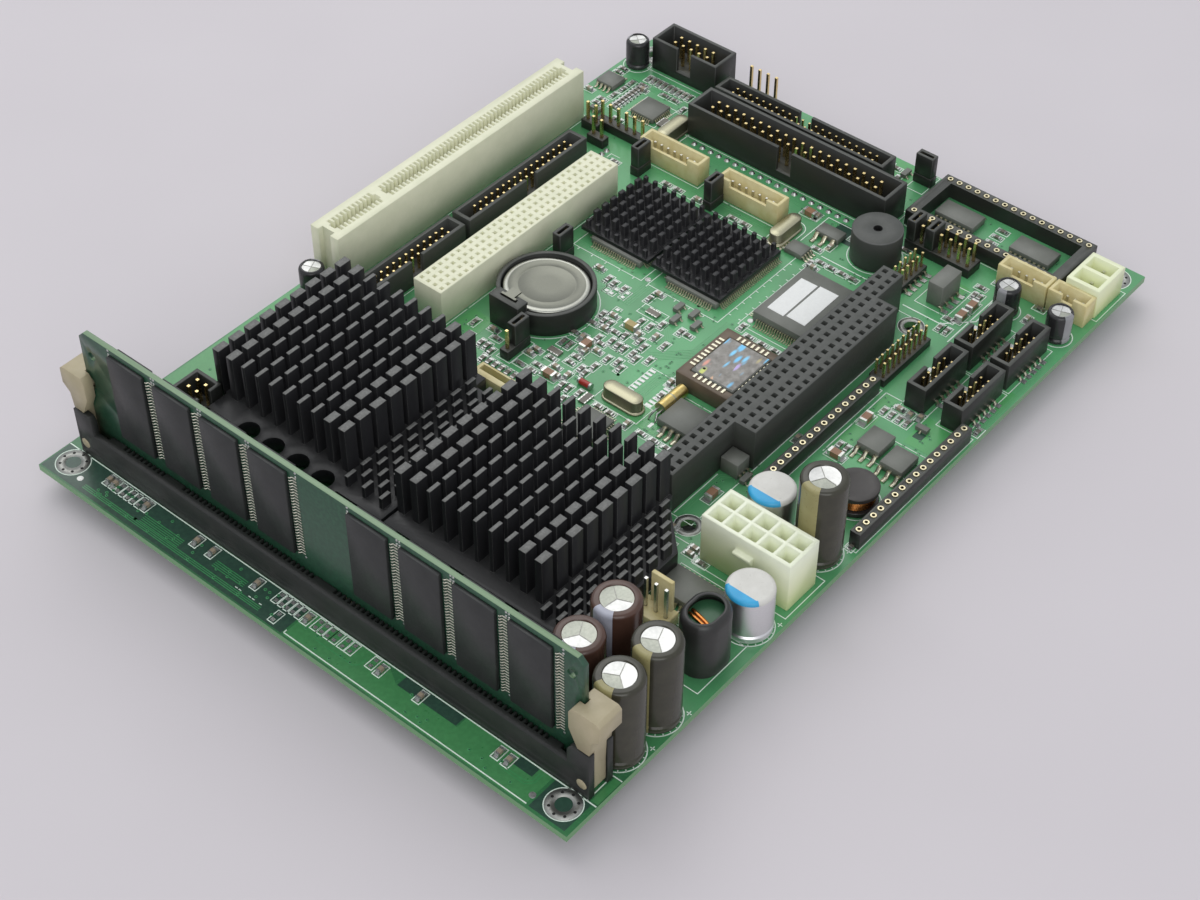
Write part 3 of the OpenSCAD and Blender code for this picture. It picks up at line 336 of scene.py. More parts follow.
MADE_BY = {
    moulded: {
        "print": ("printed_lines", (0.78, 0.88, 0.79), (0.66, 0.79, 0.68), 0.6, 0.1),
        "latch": ("latch_plastic", (0.43, 0.37, 0.245), (0.38, 0.33, 0.21), 0.42, 0.15),
        "ivory": ("ivory_plastic", (0.77, 0.77, 0.58), (0.70, 0.71, 0.52)),
        "tan": ("tan_plastic", (0.60, 0.51, 0.24), (0.71, 0.64, 0.37), 0.4),
        "brown": ("brown_plastic", (0.155, 0.115, 0.078), (0.12, 0.088, 0.06), 0.5),
        "olive": ("olive_sleeve", (0.045, 0.043, 0.028), (0.032, 0.030, 0.020), 0.22, 0.5),
        "russet": ("brown_sleeve", (0.085, 0.042, 0.030), (0.065, 0.033, 0.024), 0.22, 0.5),
        "jet": ("dark_sleeve", (0.018, 0.018, 0.019), (0.026, 0.026, 0.027), 0.24, 0.5),
        "stripe": ("sleeve_stripe", (0.33, 0.30, 0.14), (0.28, 0.25, 0.11), 0.3, 0.5),
        "lilac": ("sleeve_lilac", (0.42, 0.43, 0.50), (0.36, 0.37, 0.44), 0.3, 0.5),
        "ash": ("sleeve_grey", (0.30, 0.30, 0.31), (0.24, 0.24, 0.25), 0.3, 0.5),
        "enamel": ("can_enamel", (0.58, 0.57, 0.53), (0.66, 0.65, 0.61), 0.3, 0.4),
        "blue": ("blue_ink", (0.03, 0.33, 0.62), (0.04, 0.40, 0.70), 0.35, 0.3),
        "ferrite": ("ferrite", (0.030, 0.026, 0.024), (0.045, 0.040, 0.037), 0.42, 0.25),
        "core": ("core_paint", (0.035, 0.12, 0.055), (0.028, 0.095, 0.045), 0.35, 0.3),
        "epoxy": ("chip_epoxy", (0.145, 0.152, 0.132), (0.17, 0.176, 0.156), 0.46, 0.1,
                  (0.19, 0.19, 0.175)),
        "dark_epoxy": ("memory_epoxy", (0.018, 0.019, 0.019), (0.026, 0.027, 0.027), 0.42, 0.1,
                       (0.10, 0.10, 0.10)),
        "card": ("card_plastic", (0.05, 0.05, 0.052), (0.065, 0.065, 0.067), 0.5, 0.15),
        # black and grey_black end with a dusty tone for tops and a factor that darkens their sides as
        # painted shade
        "black": ("black_plastic", (0.048, 0.051, 0.044), (0.066, 0.069, 0.060), 0.42, 0.12,
                  (0.12, 0.12, 0.115), 0.36),
        "grey_black": ("greyed_black_plastic", (0.058, 0.062, 0.055), (0.074, 0.077, 0.071), 0.5, 0.12,
                       (0.12, 0.12, 0.12), 0.7),
        "resistor": ("resistor_glaze", (0.12, 0.112, 0.092), (0.18, 0.165, 0.135), 0.35, 0.2),
        "ceramic": ("tan_ceramic", (0.36, 0.30, 0.22), (0.29, 0.24, 0.175), 0.4, 0.2),
        "umber": ("brown_ceramic", (0.30, 0.16, 0.09), (0.24, 0.13, 0.075), 0.36, 0.2),
        "red": ("red_glaze", (0.38, 0.03, 0.02), (0.30, 0.02, 0.015), 0.25, 0.2),
        # The near-black finish paints shade into holes, dimples and bores
        "hole_shade": ("dark_bore", (0.006, 0.006, 0.006), (0.010, 0.010, 0.010), 0.8, 0.3),
        "deep": ("socket_black", (0.016, 0.017, 0.016), (0.023, 0.024, 0.022)),
        # Lighter finishes for the bevels of black, epoxy and anodised parts: painted highlights on their
        # edges
        "fin_edge_highlight": ("worn_fin_edges", (0.135, 0.136, 0.13), (0.20, 0.20, 0.19), 0.45, 0.2),
        "worn_black": ("worn_black_edges", (0.05, 0.051, 0.048), (0.075, 0.076, 0.071), 0.42, 0.2),
        "worn_grey": ("worn_grey_edges", (0.085, 0.088, 0.083), (0.11, 0.113, 0.107), 0.45, 0.2),
        "worn_epoxy": ("worn_epoxy_edges", (0.17, 0.175, 0.155), (0.21, 0.215, 0.195), 0.45, 0.2),
        "amber": ("amber_block", (0.35, 0.27, 0.10), (0.44, 0.35, 0.15), 0.4, 0.2),
        "sleeve": ("shrunk_sleeve", (0.022, 0.022, 0.021), (0.032, 0.032, 0.030), 0.34, 0.3,
                   (0.07, 0.07, 0.07)),
    },
    plated: {
        "tin": ("tin_plate", (0.56, 0.56, 0.53), (0.70, 0.70, 0.67), 0.3),
        "solder": ("solder", (0.44, 0.45, 0.44), (0.58, 0.59, 0.57), 0.32, 0.3, 0.01),
        "gold": ("gold_plate", (0.72, 0.55, 0.24), (0.80, 0.65, 0.34), 0.24),
        "brass": ("turned_brass", (0.74, 0.66, 0.42), (0.84, 0.77, 0.54), 0.28),
        # The two lid finishes are lit and shaded copies of one lid, painted light and shade; the crease
        # finish is painted shade in the pressed creases
        "lid": ("can_lid", (0.54, 0.545, 0.53), (0.62, 0.62, 0.605), 0.34, 0.6),
        "lid_shaded": ("can_lid_shaded", (0.33, 0.345, 0.30), (0.40, 0.41, 0.36), 0.38, 0.6),
        "crease": ("can_crease", (0.22, 0.22, 0.20), (0.34, 0.34, 0.32), 0.4),
        "lead": ("memory_leads", (0.58, 0.56, 0.48), (0.74, 0.72, 0.62), 0.34),
        "lead_tin": ("lead_tin", (0.60, 0.57, 0.43), (0.74, 0.71, 0.57), 0.34),
        "wire": ("enamelled_copper", (0.62, 0.23, 0.06), (0.74, 0.32, 0.10), 0.28),
        "ring": ("tinned_ring", (0.36, 0.37, 0.34), (0.44, 0.44, 0.42), 0.5, 0.4, 0.01),
        "jacket": ("gold_jacket", (0.62, 0.47, 0.16), (0.72, 0.58, 0.26), 0.32),
    },
    brushed: {
        "steel": ("cell_steel", (0.19, 0.195, 0.162), (0.23, 0.233, 0.20), 0.36, (1, 5, 1)),
        "rim_steel": ("cell_rim_steel", (0.36, 0.365, 0.32), (0.45, 0.455, 0.41), 0.3, (1, 5, 1)),
        "can": ("can_aluminium", (0.72, 0.72, 0.73), (0.83, 0.83, 0.84), 0.36, (1, 1, 8), 0.4),
        "crystal": ("can_nickel", (0.42, 0.405, 0.275), (0.50, 0.48, 0.345), 0.36, (1, 3, 1)),
    },
    lacquer: {
        # pour and track end with a lighter colour over the inner planes, partly painted light
        "pour": ("lacquer_on_copper", (0.05, 0.225, 0.075), (0.062, 0.265, 0.09), 0.3, (0.09, 0.37, 0.12)),
        "track": ("lacquered_tracks", (0.04, 0.26, 0.085), (0.05, 0.30, 0.10), 0.3, (0.11, 0.37, 0.16)),
        "bare": ("lacquer_on_laminate", (0.016, 0.055, 0.036), (0.024, 0.078, 0.048), 0.36),
        "module": ("module_lacquer", (0.014, 0.055, 0.030), (0.020, 0.08, 0.042), 0.34, None,
                   (0.17, 0.27, 0.15)),
    },
}
FIN = {key: make(*how) for make, rows in MADE_BY.items() for key, how in rows.items()}
FIN["mask"] = solder_mask()
FIN["nylon"] = natural_nylon()
FIN["anodised"] = anodised()
FIN["paper"] = paper()
FIN["foil"] = foil_sticker()


# Places on the board

def corners(x0, y0, x1, y1):
    """A rectangle, from two opposite corners."""
    return [(x0, y0), (x1, y0), (x1, y1), (x0, y1)]


def circle(x, y, radius, steps=24, start=0.0, sweep=FULL):
    """Points round a circle, or along a part of it."""
    last = steps if sweep == FULL else steps - 1
    turns = [start + sweep * k / last for k in range(steps)]
    return [(x + radius * math.cos(a), y + radius * math.sin(a)) for a in turns]


def stadium(x, y, radius, half):
    """A circle pulled apart along X."""
    return [(px + (half if px > x else -half), py) for px, py in circle(x, y, radius, 40, 0.01)]


def evenly(count, pitch):
    """Steps of that pitch, as many to one side of nought as to the other."""
    return [(k - (count - 1) / 2) * pitch for k in range(count)]


def away(x, y, out, along, turn):
    """The place that lies out from (x, y) in the direction turn, in degrees, and along at right angles."""
    a = math.radians(turn)
    return (x + out * math.cos(a) - along * math.sin(a), y + out * math.sin(a) + along * math.cos(a))


# Meshes in millimetres

class Shape:
    """Collects closed shells in millimetres and makes them one object."""

    def __init__(self):
        self.points = []
        self.faces = []
        self.tags = []

    def shell(self, points, faces, tag=0):
        start = len(self.points)
        self.points += [tuple(p) for p in points]
        self.faces += [tuple(start + k for k in face) for face in faces]
        self.tags += [tag] * len(faces)

    def prism(self, outline, low, high, tag=0):
        n = len(outline)
        points = [(x, y, low) for x, y in outline] + [(x, y, high) for x, y in outline]
        faces = [tuple(range(n))[::-1], tuple(range(n, 2 * n))]
        faces += [(k, (k + 1) % n, n + (k + 1) % n, n + k) for k in range(n)]
        self.shell(points, faces, tag)

    def block(self, low, high, tag=0):
        self.prism(corners(*low[:2], *high[:2]), low[2], high[2], tag)

    def turned(self, at, profile, steps=40, tag=0, paint=None):
        """A shape turned about an upright axis; paint gives a face's finish by angle and row."""
        points, faces = [], []
        for radius, height in profile:
            points += [(x, y, height) for x, y in circle(*at, radius, steps)]
        for row in range(len(profile) - 1):
            for k in range(steps):
                m = (k + 1) % steps
                a, b = row * steps, (row + 1) * steps
                faces.append((a + k, a + m, b + m, b + k))
        last = (len(profile) - 1) * steps
        faces.append(tuple(range(steps))[::-1])
        faces.append(tuple(last + k for k in range(steps)))
        first = len(self.tags)
        self.shell(points, faces, tag)
        if paint:
            for face in range(last):
                row, k = divmod(face, steps)
                self.tags[first + face] = paint(FULL * (k + 0.5) / steps, row)

    def ribbon(self, path, width, low, high, closed=False):
        """A flat strip of that width along a path on the board, with mitred corners."""
        n = len(path)
        left, right = [], []
        for k, (x, y) in enumerate(path):
            ways = []
            for a, b in ((k - 1, k), (k, k + 1)):
                if closed or (a >= 0 and b < n):
                    p, q = path[a % n], path[b % n]
                    d = Vector((q[0] - p[0], q[1] - p[1]))
                    if d.length > 1e-9:
                        ways.append(d.normalized())
            way = sum(ways, Vector((0, 0)))
            way = way.normalized() if way.length > 1e-6 else ways[0]
            side = Vector((-way.y, way.x))
            grow = 1 / max(0.5, abs(side.dot(Vector((-ways[0].y, ways[0].x)))))
            left.append((x + side.x * width / 2 * grow, y + side.y * width / 2 * grow))
            right.append((x - side.x * width / 2 * grow, y - side.y * width / 2 * grow))
        count = n if closed else n - 1
        points = []
        for k in range(n):
            for px, py in (left[k], right[k]):
                points += [(px, py, low), (px, py, high)]
        faces = []
        for k in range(count):
            a, b = 4 * k, 4 * ((k + 1) % n)
            faces += [
                (a + 1, a + 3, b + 3, b + 1), (a, b, b + 2, a + 2),
                (a, a + 1, b + 1, b), (a + 2, b + 2, b + 3, a + 3),
            ]
        if not closed:
            last = 4 * (n - 1)
            faces += [(0, 2, 3, 1), (last, last + 1, last + 3, last + 2)]
        self.shell(points, faces)

    def tube(self, path, radius, sides=8, tag=0, closed=False):
        """A round wire along a path of points."""
        path = [Vector(p) for p in path]
        n = len(path)
        points, faces = [], []
        for k, p in enumerate(path):
            before = path[k - 1] if closed or k > 0 else path[0]
            after = path[(k + 1) % n] if closed or k < n - 1 else path[-1]
            way = (after - before).normalized()
            rest = Vector((0, 0, 1)) if abs(way.z) < 0.9 else Vector((1, 0, 0))
            side = way.cross(rest).normalized()
            over = side.cross(way)
            for s in range(sides):
                a = FULL * s / sides
                points.append(p + side * radius * math.cos(a) + over * radius * math.sin(a))
        for k in range(n if closed else n - 1):
            for s in range(sides):
                a, b = k * sides, ((k + 1) % n) * sides
                t = (s + 1) % sides
                faces.append((a + s, a + t, b + t, b + s))
        if not closed:
            faces.append(tuple(range(sides))[::-1])
            faces.append(tuple((n - 1) * sides + s for s in range(sides)))
        self.shell(points, faces, tag)

    def make(self, name, finishes, slot, stands_for=(), smooth=35):
        mesh = bpy.data.meshes.new(name)
        mesh.from_pydata([Vector(p) * MM for p in self.points], [], self.faces)
        mesh.polygons.foreach_set("material_index", self.tags)
        work = bmesh.new()
        work.from_mesh(mesh)
        bmesh.ops.recalc_face_normals(work, faces=work.faces)
        work.to_mesh(mesh)
        work.free()
        for finish in finishes:
            mesh.materials.append(FIN[finish])
        if smooth:
            mesh.shade_smooth()
            mesh.set_sharp_from_angle(angle=math.radians(smooth))
        seat(add(name, mesh), slot, "computer", stands_for)


def seat(piece, slot, body, stands_for=()):
    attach(piece, body)
    if stands_for:
        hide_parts(*stands_for)


# Geometry Nodes for what repeats

class Pattern:
    """A geometry tree that puts one small shape on many points and turns each by its own angle."""

    def __init__(self, name, sizes):
        self.tree = bpy.data.node_groups.new(name, "GeometryNodeTree")
        face = self.tree.interface
        face.new_socket("Geometry", in_out="INPUT", socket_type="NodeSocketGeometry")
        for label in (*sizes, "Lift", "Wobble"):
            face.new_socket(label, in_out="INPUT", socket_type="NodeSocketFloat")
        face.new_socket("Finish", in_out="INPUT", socket_type="NodeSocketMaterial")
        face.new_socket("Geometry", in_out="OUTPUT", socket_type="NodeSocketGeometry")
        self.inputs = put(self.tree, "NodeGroupInput").outputs

    def size(self, label):
        return Wire(self.tree, self.inputs[label])

    def node(self, kind, settings=None, sockets=None):
        return put(self.tree, kind, settings, sockets)

    def vector(self, x=0.0, y=0.0, z=0.0):
        return self.node("ShaderNodeCombineXYZ", None, {0: x, 1: y, 2: z}).outputs[0]

    def moved(self, mesh, x=0.0, z=0.0):
        place = self.vector(x, 0.0, z)
        return self.node("GeometryNodeTransform", None, {"Geometry": mesh, "Translation": place}).outputs[0]

    def frame(self, width, height):
        made = self.node(
            "GeometryNodeCurvePrimitiveQuadrilateral", {"mode": "RECTANGLE"},
            {"Width": self.size(width), "Height": self.size(height)},
        )
        return made.outputs[0]

    def swept(self, path, section):
        """A mesh along a path, closed at its ends."""
        made = self.node(
            "GeometryNodeCurveToMesh", None, {"Curve": path, "Profile Curve": section, "Fill Caps": True},
        )
        return made.outputs[0]

    def finish(self, shape):
        """Puts the shape on the points, with a small seeded misplacement."""
        turn = self.node("GeometryNodeInputNamedAttribute", {"data_type": "FLOAT"}, {"Name": "turn"})
        jitter = self.node("FunctionNodeRandomValue", {"data_type": "FLOAT"}, {2: -1.0, 3: 1.0, "Seed": 11})
        angle = Wire(self.tree, turn.outputs[0]) + Wire(self.tree, jitter.outputs[1]) * self.size("Wobble")
        placed = self.node("GeometryNodeInstanceOnPoints", None, {
            "Points": self.inputs["Geometry"], "Instance": shape, "Rotation": self.vector(z=angle),
        })
        real = self.node("GeometryNodeRealizeInstances", None, {0: placed.outputs[0]})
        coloured = self.node("GeometryNodeSetMaterial", None, {
            "Geometry": real.outputs[0], "Material": self.inputs["Finish"],
        })
        put(self.tree, "NodeGroupOutput", None, {0: coloured.outputs[0]})
        return self


def block_pattern():
    """A block, or two alike on both sides of the point when Offset isn't nought."""
    p = Pattern("blocks_on_points", ("Length", "Width", "Height", "Offset"))
    size = p.vector(p.size("Length"), p.size("Width"), p.size("Height"))
    cube = p.node("GeometryNodeMeshCube", None, {"Size": size}).outputs[0]
    rise = p.size("Lift") + p.size("Height") * 0.5
    both = p.node("GeometryNodeJoinGeometry")
    for side in (-1, 1):
        p.tree.links.new(p.moved(cube, p.size("Offset") * side, rise), both.inputs[0])
    pick = p.node(
        "GeometryNodeSwitch", {"input_type": "GEOMETRY"},
        {0: p.size("Offset") > 1e-7, 1: p.moved(cube, 0.0, rise), 2: both.outputs[0]},
    )
    return p.finish(pick.outputs[0])


def round_pattern():
    """A short cone or cylinder standing on the point."""
    p = Pattern("rounds_on_points", ("Foot", "Top", "Height", "Sides"))
    cone = p.node("GeometryNodeMeshCone", None, {
        "Vertices": p.size("Sides"), "Radius Bottom": p.size("Foot"), "Radius Top": p.size("Top"),
        "Depth": p.size("Height"),
    })
    return p.finish(p.moved(cone.outputs[0], 0.0, p.size("Lift")))


def ring_pattern():
    """A flat ring round the point."""
    p = Pattern("rings_on_points", ("Radius", "Width", "Height", "Sides"))
    loop = p.node(
        "GeometryNodeCurvePrimitiveCircle", {"mode": "RADIUS"},
        {"Resolution": p.size("Sides"), "Radius": p.size("Radius")},
    )
    return p.finish(p.moved(p.swept(loop.outputs[0], p.frame("Width", "Height")), 0.0, p.size("Lift")))


def outline_pattern():
    """A thin rectangular frame round the point, as printed round a small part."""
    p = Pattern("outlines_on_points", ("Length", "Width", "Line", "Height"))
    loop = p.frame("Length", "Width")
    return p.finish(p.moved(p.swept(loop, p.frame("Line", "Height")), 0.0, p.size("Lift")))


def lead_pattern():
    """A flat lead that leaves a package along X, bends down and ends in a foot."""
    p = Pattern("leads_on_points", ("Shoulder", "Reach", "Foot", "Drop", "Width", "Thickness"))
    out = p.size("Shoulder")
    far = out + p.size("Reach")
    top = p.size("Drop")
    half = p.size("Thickness") * 0.5
    stops = [(out * -1.0, top), (out, top), (far, half), (far + p.size("Foot"), half)]
    legs = p.node("GeometryNodeJoinGeometry")
    for (x0, z0), (x1, z1) in zip(stops, stops[1:]):
        leg = p.node(
            "GeometryNodeCurvePrimitiveLine", {"mode": "POINTS"},
            {"Start": p.vector(x0, 0.0, z0), "End": p.vector(x1, 0.0, z1)},
        )
        p.tree.links.new(p.swept(leg.outputs[0], p.frame("Width", "Thickness")), legs.inputs[0])
    return p.finish(p.moved(legs.outputs[0], 0.0, p.size("Lift")))


BLOCKS = block_pattern()
ROUNDS = round_pattern()
RINGS = ring_pattern()
LEADS = lead_pattern()
OUTLINES = outline_pattern()


def spread(name, pattern, points, finish, slot, sizes, body="computer", stand=None):
    """Runs a pattern over points (x, y, z, turn in degrees) and keeps the plain mesh.

    stand turns the finished mesh upright: a matrix in millimetres, for leads on the memory module.
    """
    mesh = bpy.data.meshes.new(name)
    mesh.from_pydata([Vector(p[:3]) * MM for p in points], [], [])
    turns = mesh.attributes.new("turn", "FLOAT", "POINT")
    turns.data.foreach_set("value", [math.radians(p[3] if len(p) > 3 else 0) for p in points])
    work = add(name + "_points", mesh)
    run = work.modifiers.new("pattern", "NODES")
    run.node_group = pattern.tree
    for item in pattern.tree.interface.items_tree:
        if item.in_out == "INPUT" and item.name == "Finish":
            run[item.identifier] = FIN[finish]
        elif item.in_out == "INPUT" and item.name in sizes:
            plain = item.name in ("Sides", "Wobble")
            run[item.identifier] = sizes[item.name] * (1.0 if plain else MM)
    graph = bpy.context.evaluated_depsgraph_get()
    result = bpy.data.meshes.new_from_object(work.evaluated_get(graph))
    result.name = name
    bpy.data.objects.remove(work)
    if stand:
        place = stand.copy()
        place.translation = place.translation * MM
        result.transform(place)
    seat(add(name, result), slot, body)


# Softened copies of the solids, so that their edges catch the light, with a lighter finish on the bevels as
# a painted highlight where there is one

# Points this near in metres are one, faces within LEVEL of each other are one, edges past EDGE are
# bevelled, and shading breaks past SHARP
WELD = 2e-6
LEVEL = math.radians(2)
EDGE = math.radians(40)
SHARP = math.radians(50)


def softened(node, width, finish, slot):
    """Replaces a solid by a copy with small bevels, which take a lighter finish as a painted highlight
    where there is one.
    """
    clothe(node, finish)
    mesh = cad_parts[node].data.copy()
    mesh.name = node + "_soft"
    edge_highlight = EDGE_HIGHLIGHTS.get(finish)
    work = bmesh.new()
    work.from_mesh(mesh)
    bmesh.ops.remove_doubles(work, verts=work.verts, dist=WELD)
    bmesh.ops.dissolve_limit(
        work, angle_limit=LEVEL, verts=work.verts, edges=work.edges,
        use_dissolve_boundaries=False, delimit={"NORMAL"},
    )
    for face in work.faces:
        face.material_index = 0
    edges = [
        e for e in work.edges
        if len(e.link_faces) == 2 and e.calc_face_angle(0) > EDGE
    ]
    bmesh.ops.bevel(
        work, geom=edges, offset=width * MM, offset_type="OFFSET", segments=1,
        profile=0.5, affect="EDGES", clamp_overlap=True, miter_outer="SHARP",
        material=1 if edge_highlight else -1,
    )
    bmesh.ops.triangulate(work, faces=[f for f in work.faces if len(f.verts) > 4])
    mesh.materials.clear()
    for made in (finish, edge_highlight):
        if made:
            mesh.materials.append(FIN[made])
    work.to_mesh(mesh)
    work.free()
    mesh.shade_smooth()
    mesh.set_sharp_from_angle(angle=SHARP)
    seat(add(node + "_soft", mesh), slot, BODIES.get(node, "computer"), (node,))


def clothe(node, finish):
    """Gives a solid its material."""
    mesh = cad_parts[node].data
    if not mesh.materials:
        mesh.materials.append(FIN[finish])
    for k in range(len(mesh.materials)):
        mesh.materials[k] = FIN[finish]


# Floor and light

def make_stage():
    """The floor, the room's soft light and three lamps."""
    low = cad_low.z
    half = 6.0
    mesh = bpy.data.meshes.new("floor")
    mesh.from_pydata([(x, y, low) for x, y in corners(-half, -half, half, half)], [], [(0, 1, 2, 3)])
    floor = add("floor", mesh)
    paint = Finish("floor_paint", (0.62, 0.58, 0.61), 0.6)
    shade = paint.blend(paint.noise(60.0, 2.0), (0.575, 0.54, 0.565), (0.615, 0.58, 0.605))
    mesh.materials.append(paint.done(shade))
    world = bpy.data.worlds.new("soft_room")
    world.use_nodes = True
    bpy.context.scene.world = world
    room = world.node_tree.nodes["Background"].inputs
    room[0].default_value = (0.92, 0.95, 1.0, 1)
    room[1].default_value = 0.68
    for name, at, size, power in (
        ("top_panel", (0.25, 0.55, 1.1), 1.1, 5.2),
        ("back_panel", (0.75, 0.65, 0.62), 0.9, 1.0),
        ("side_panel", (-0.75, -0.7, 0.8), 0.9, 4.4),
    ):
        lamp = bpy.data.lights.new(name, "AREA")
        lamp.shape = "SQUARE"
        lamp.size = size
        lamp.energy = power
        lamp.color = (1.0, 0.99, 0.97)
        made = add(name, lamp)
        made.rotation_euler = (-Vector(at)).to_track_quat("-Z", "Y").to_euler()
        made.location = at
    bpy.context.scene.view_settings.view_transform = "Standard"


# Board face: copper areas, tracks and printed lines

def board_face():
    """Lacquered copper areas, bare laminate and tracks, each a thin layer on the board."""
    top = BOARD_TOP
    for name, finish, height, outlines in (
        ("copper_areas", "pour", 0.03, [
            [(-101.2, 0.4), (-101.2, -62.5), (-93.2, -62.5), (-93.2, -41), (-96, -41), (-96, -25.2),
             (-93.2, -20.5), (-93.2, 0.4)],
            corners(-67.2, 61.8, -27, 72.6), corners(-11.5, -19.6, -1.6, -12.4),
            corners(9.8, -50.4, 31, -53.6), corners(21.2, -61.4, 30.8, -69.2),
            corners(41.5, -69.6, 49, -72.4), corners(-92.6, -71.2, -86, -72.8),
            corners(66, -44.6, 72, -40.2), corners(93.2, 2.5, 101.3, -12),
            corners(-13.8, 30.4, -6.2, 37.2),
        ]),
        ("laminate_areas", "bare", 0.032, [
            corners(-101.2, 1.0, -93.3, 72.7), corners(-95.9, -40.6, -93.3, -25.4),
            corners(-95.6, -54.8, -93.3, -59.4), corners(23.7, -61.9, 25.9, -64.2),
            corners(-100.9, -71.9, -93.3, -63.2), corners(66.4, -8.4, 72.4, -16.2),
        ]),
    ):
        areas = Shape()
        for outline in outlines:
            areas.prism(outline, top, top + height)
        areas.make(name, [finish], "board_green", smooth=0)
    tracks = Shape()
    for path, count, gap in (
        ([(-98, -5.5), (-98, -15.4), (-97, -16.4), (-95.2, -16.4)], 1, 0.5),
        ([(-97.4, -54.6), (-97.4, -59.2), (-96.2, -60.4), (-94, -60.4)], 2, 0.6),
        ([(6.6, 14.5), (12.5, 20.4), (18.5, 20.4), (26.2, 28.2), (26.2, 38.5)], 7, 0.5),
        ([(7.2, -3.4), (14.4, -10.6), (27.2, -10.6)], 6, 0.5),
        ([(17.2, 12.2), (26.4, 12.2)], 5, 0.55),
        ([(6.5, -12.8), (3.2, -9.6), (-4.8, -9.6), (-9.6, -13.8), (-9.6, -24)], 5, 0.5),
        ([(-14, 44), (-8.4, 38.4), (-4.6, 38.4)], 6, 0.5),
        ([(13.8, -3.6), (16.6, -0.8), (19.6, -0.8)], 4, 0.5),
        ([(60, 26), (60, 4.4)], 4, 0.6),
        ([(-25, -38.2), (-12, -38.2), (-8.6, -41.6), (4.6, -41.6)], 3, 0.5),
        ([(33, -44.2), (47.6, -44.2)], 4, 0.55),
        ([(71.6, 38), (71.6, -8)], 3, 0.5),
        ([(-14.8, -43), (-11.2, -46.6), (-11.2, -56)], 4, 0.5),
        ([(24, -70.4), (33, -70.4), (34.8, -72.2), (60, -72.2)], 3, 0.4),
        ([(-99.6, 61), (-99.6, 8.6)], 3, 0.45),
        ([(-97.8, 44.8), (-97.8, 33.4)], 5, 0.5),
        ([(-96.9, 24.4), (-96.9, 15.4)], 4, 0.5),
        ([(84.6, 48.4), (84.6, 66.4)], 3, 0.5),
    ):
        for shift in evenly(count, gap):
            tracks.ribbon(beside(path, shift), 0.2, top, top + 0.045)
    tracks.make("tracks", ["track"], "board_green", smooth=0)


def beside(path, shift):
    """The same path a step to one side, with its corners kept parallel."""
    made = []
    for k, (x, y) in enumerate(path):
        sides = []
        for a, b in ((k - 1, k), (k, k + 1)):
            if a >= 0 and b < len(path):
                d = Vector((path[b][0] - path[a][0], path[b][1] - path[a][1])).normalized()
                sides.append(Vector((-d.y, d.x)))
        way = sum(sides, Vector((0, 0))).normalized()
        grow = shift / max(0.4, way.dot(sides[0]))
        made.append((x + way.x * grow, y + way.y * grow))
    return made


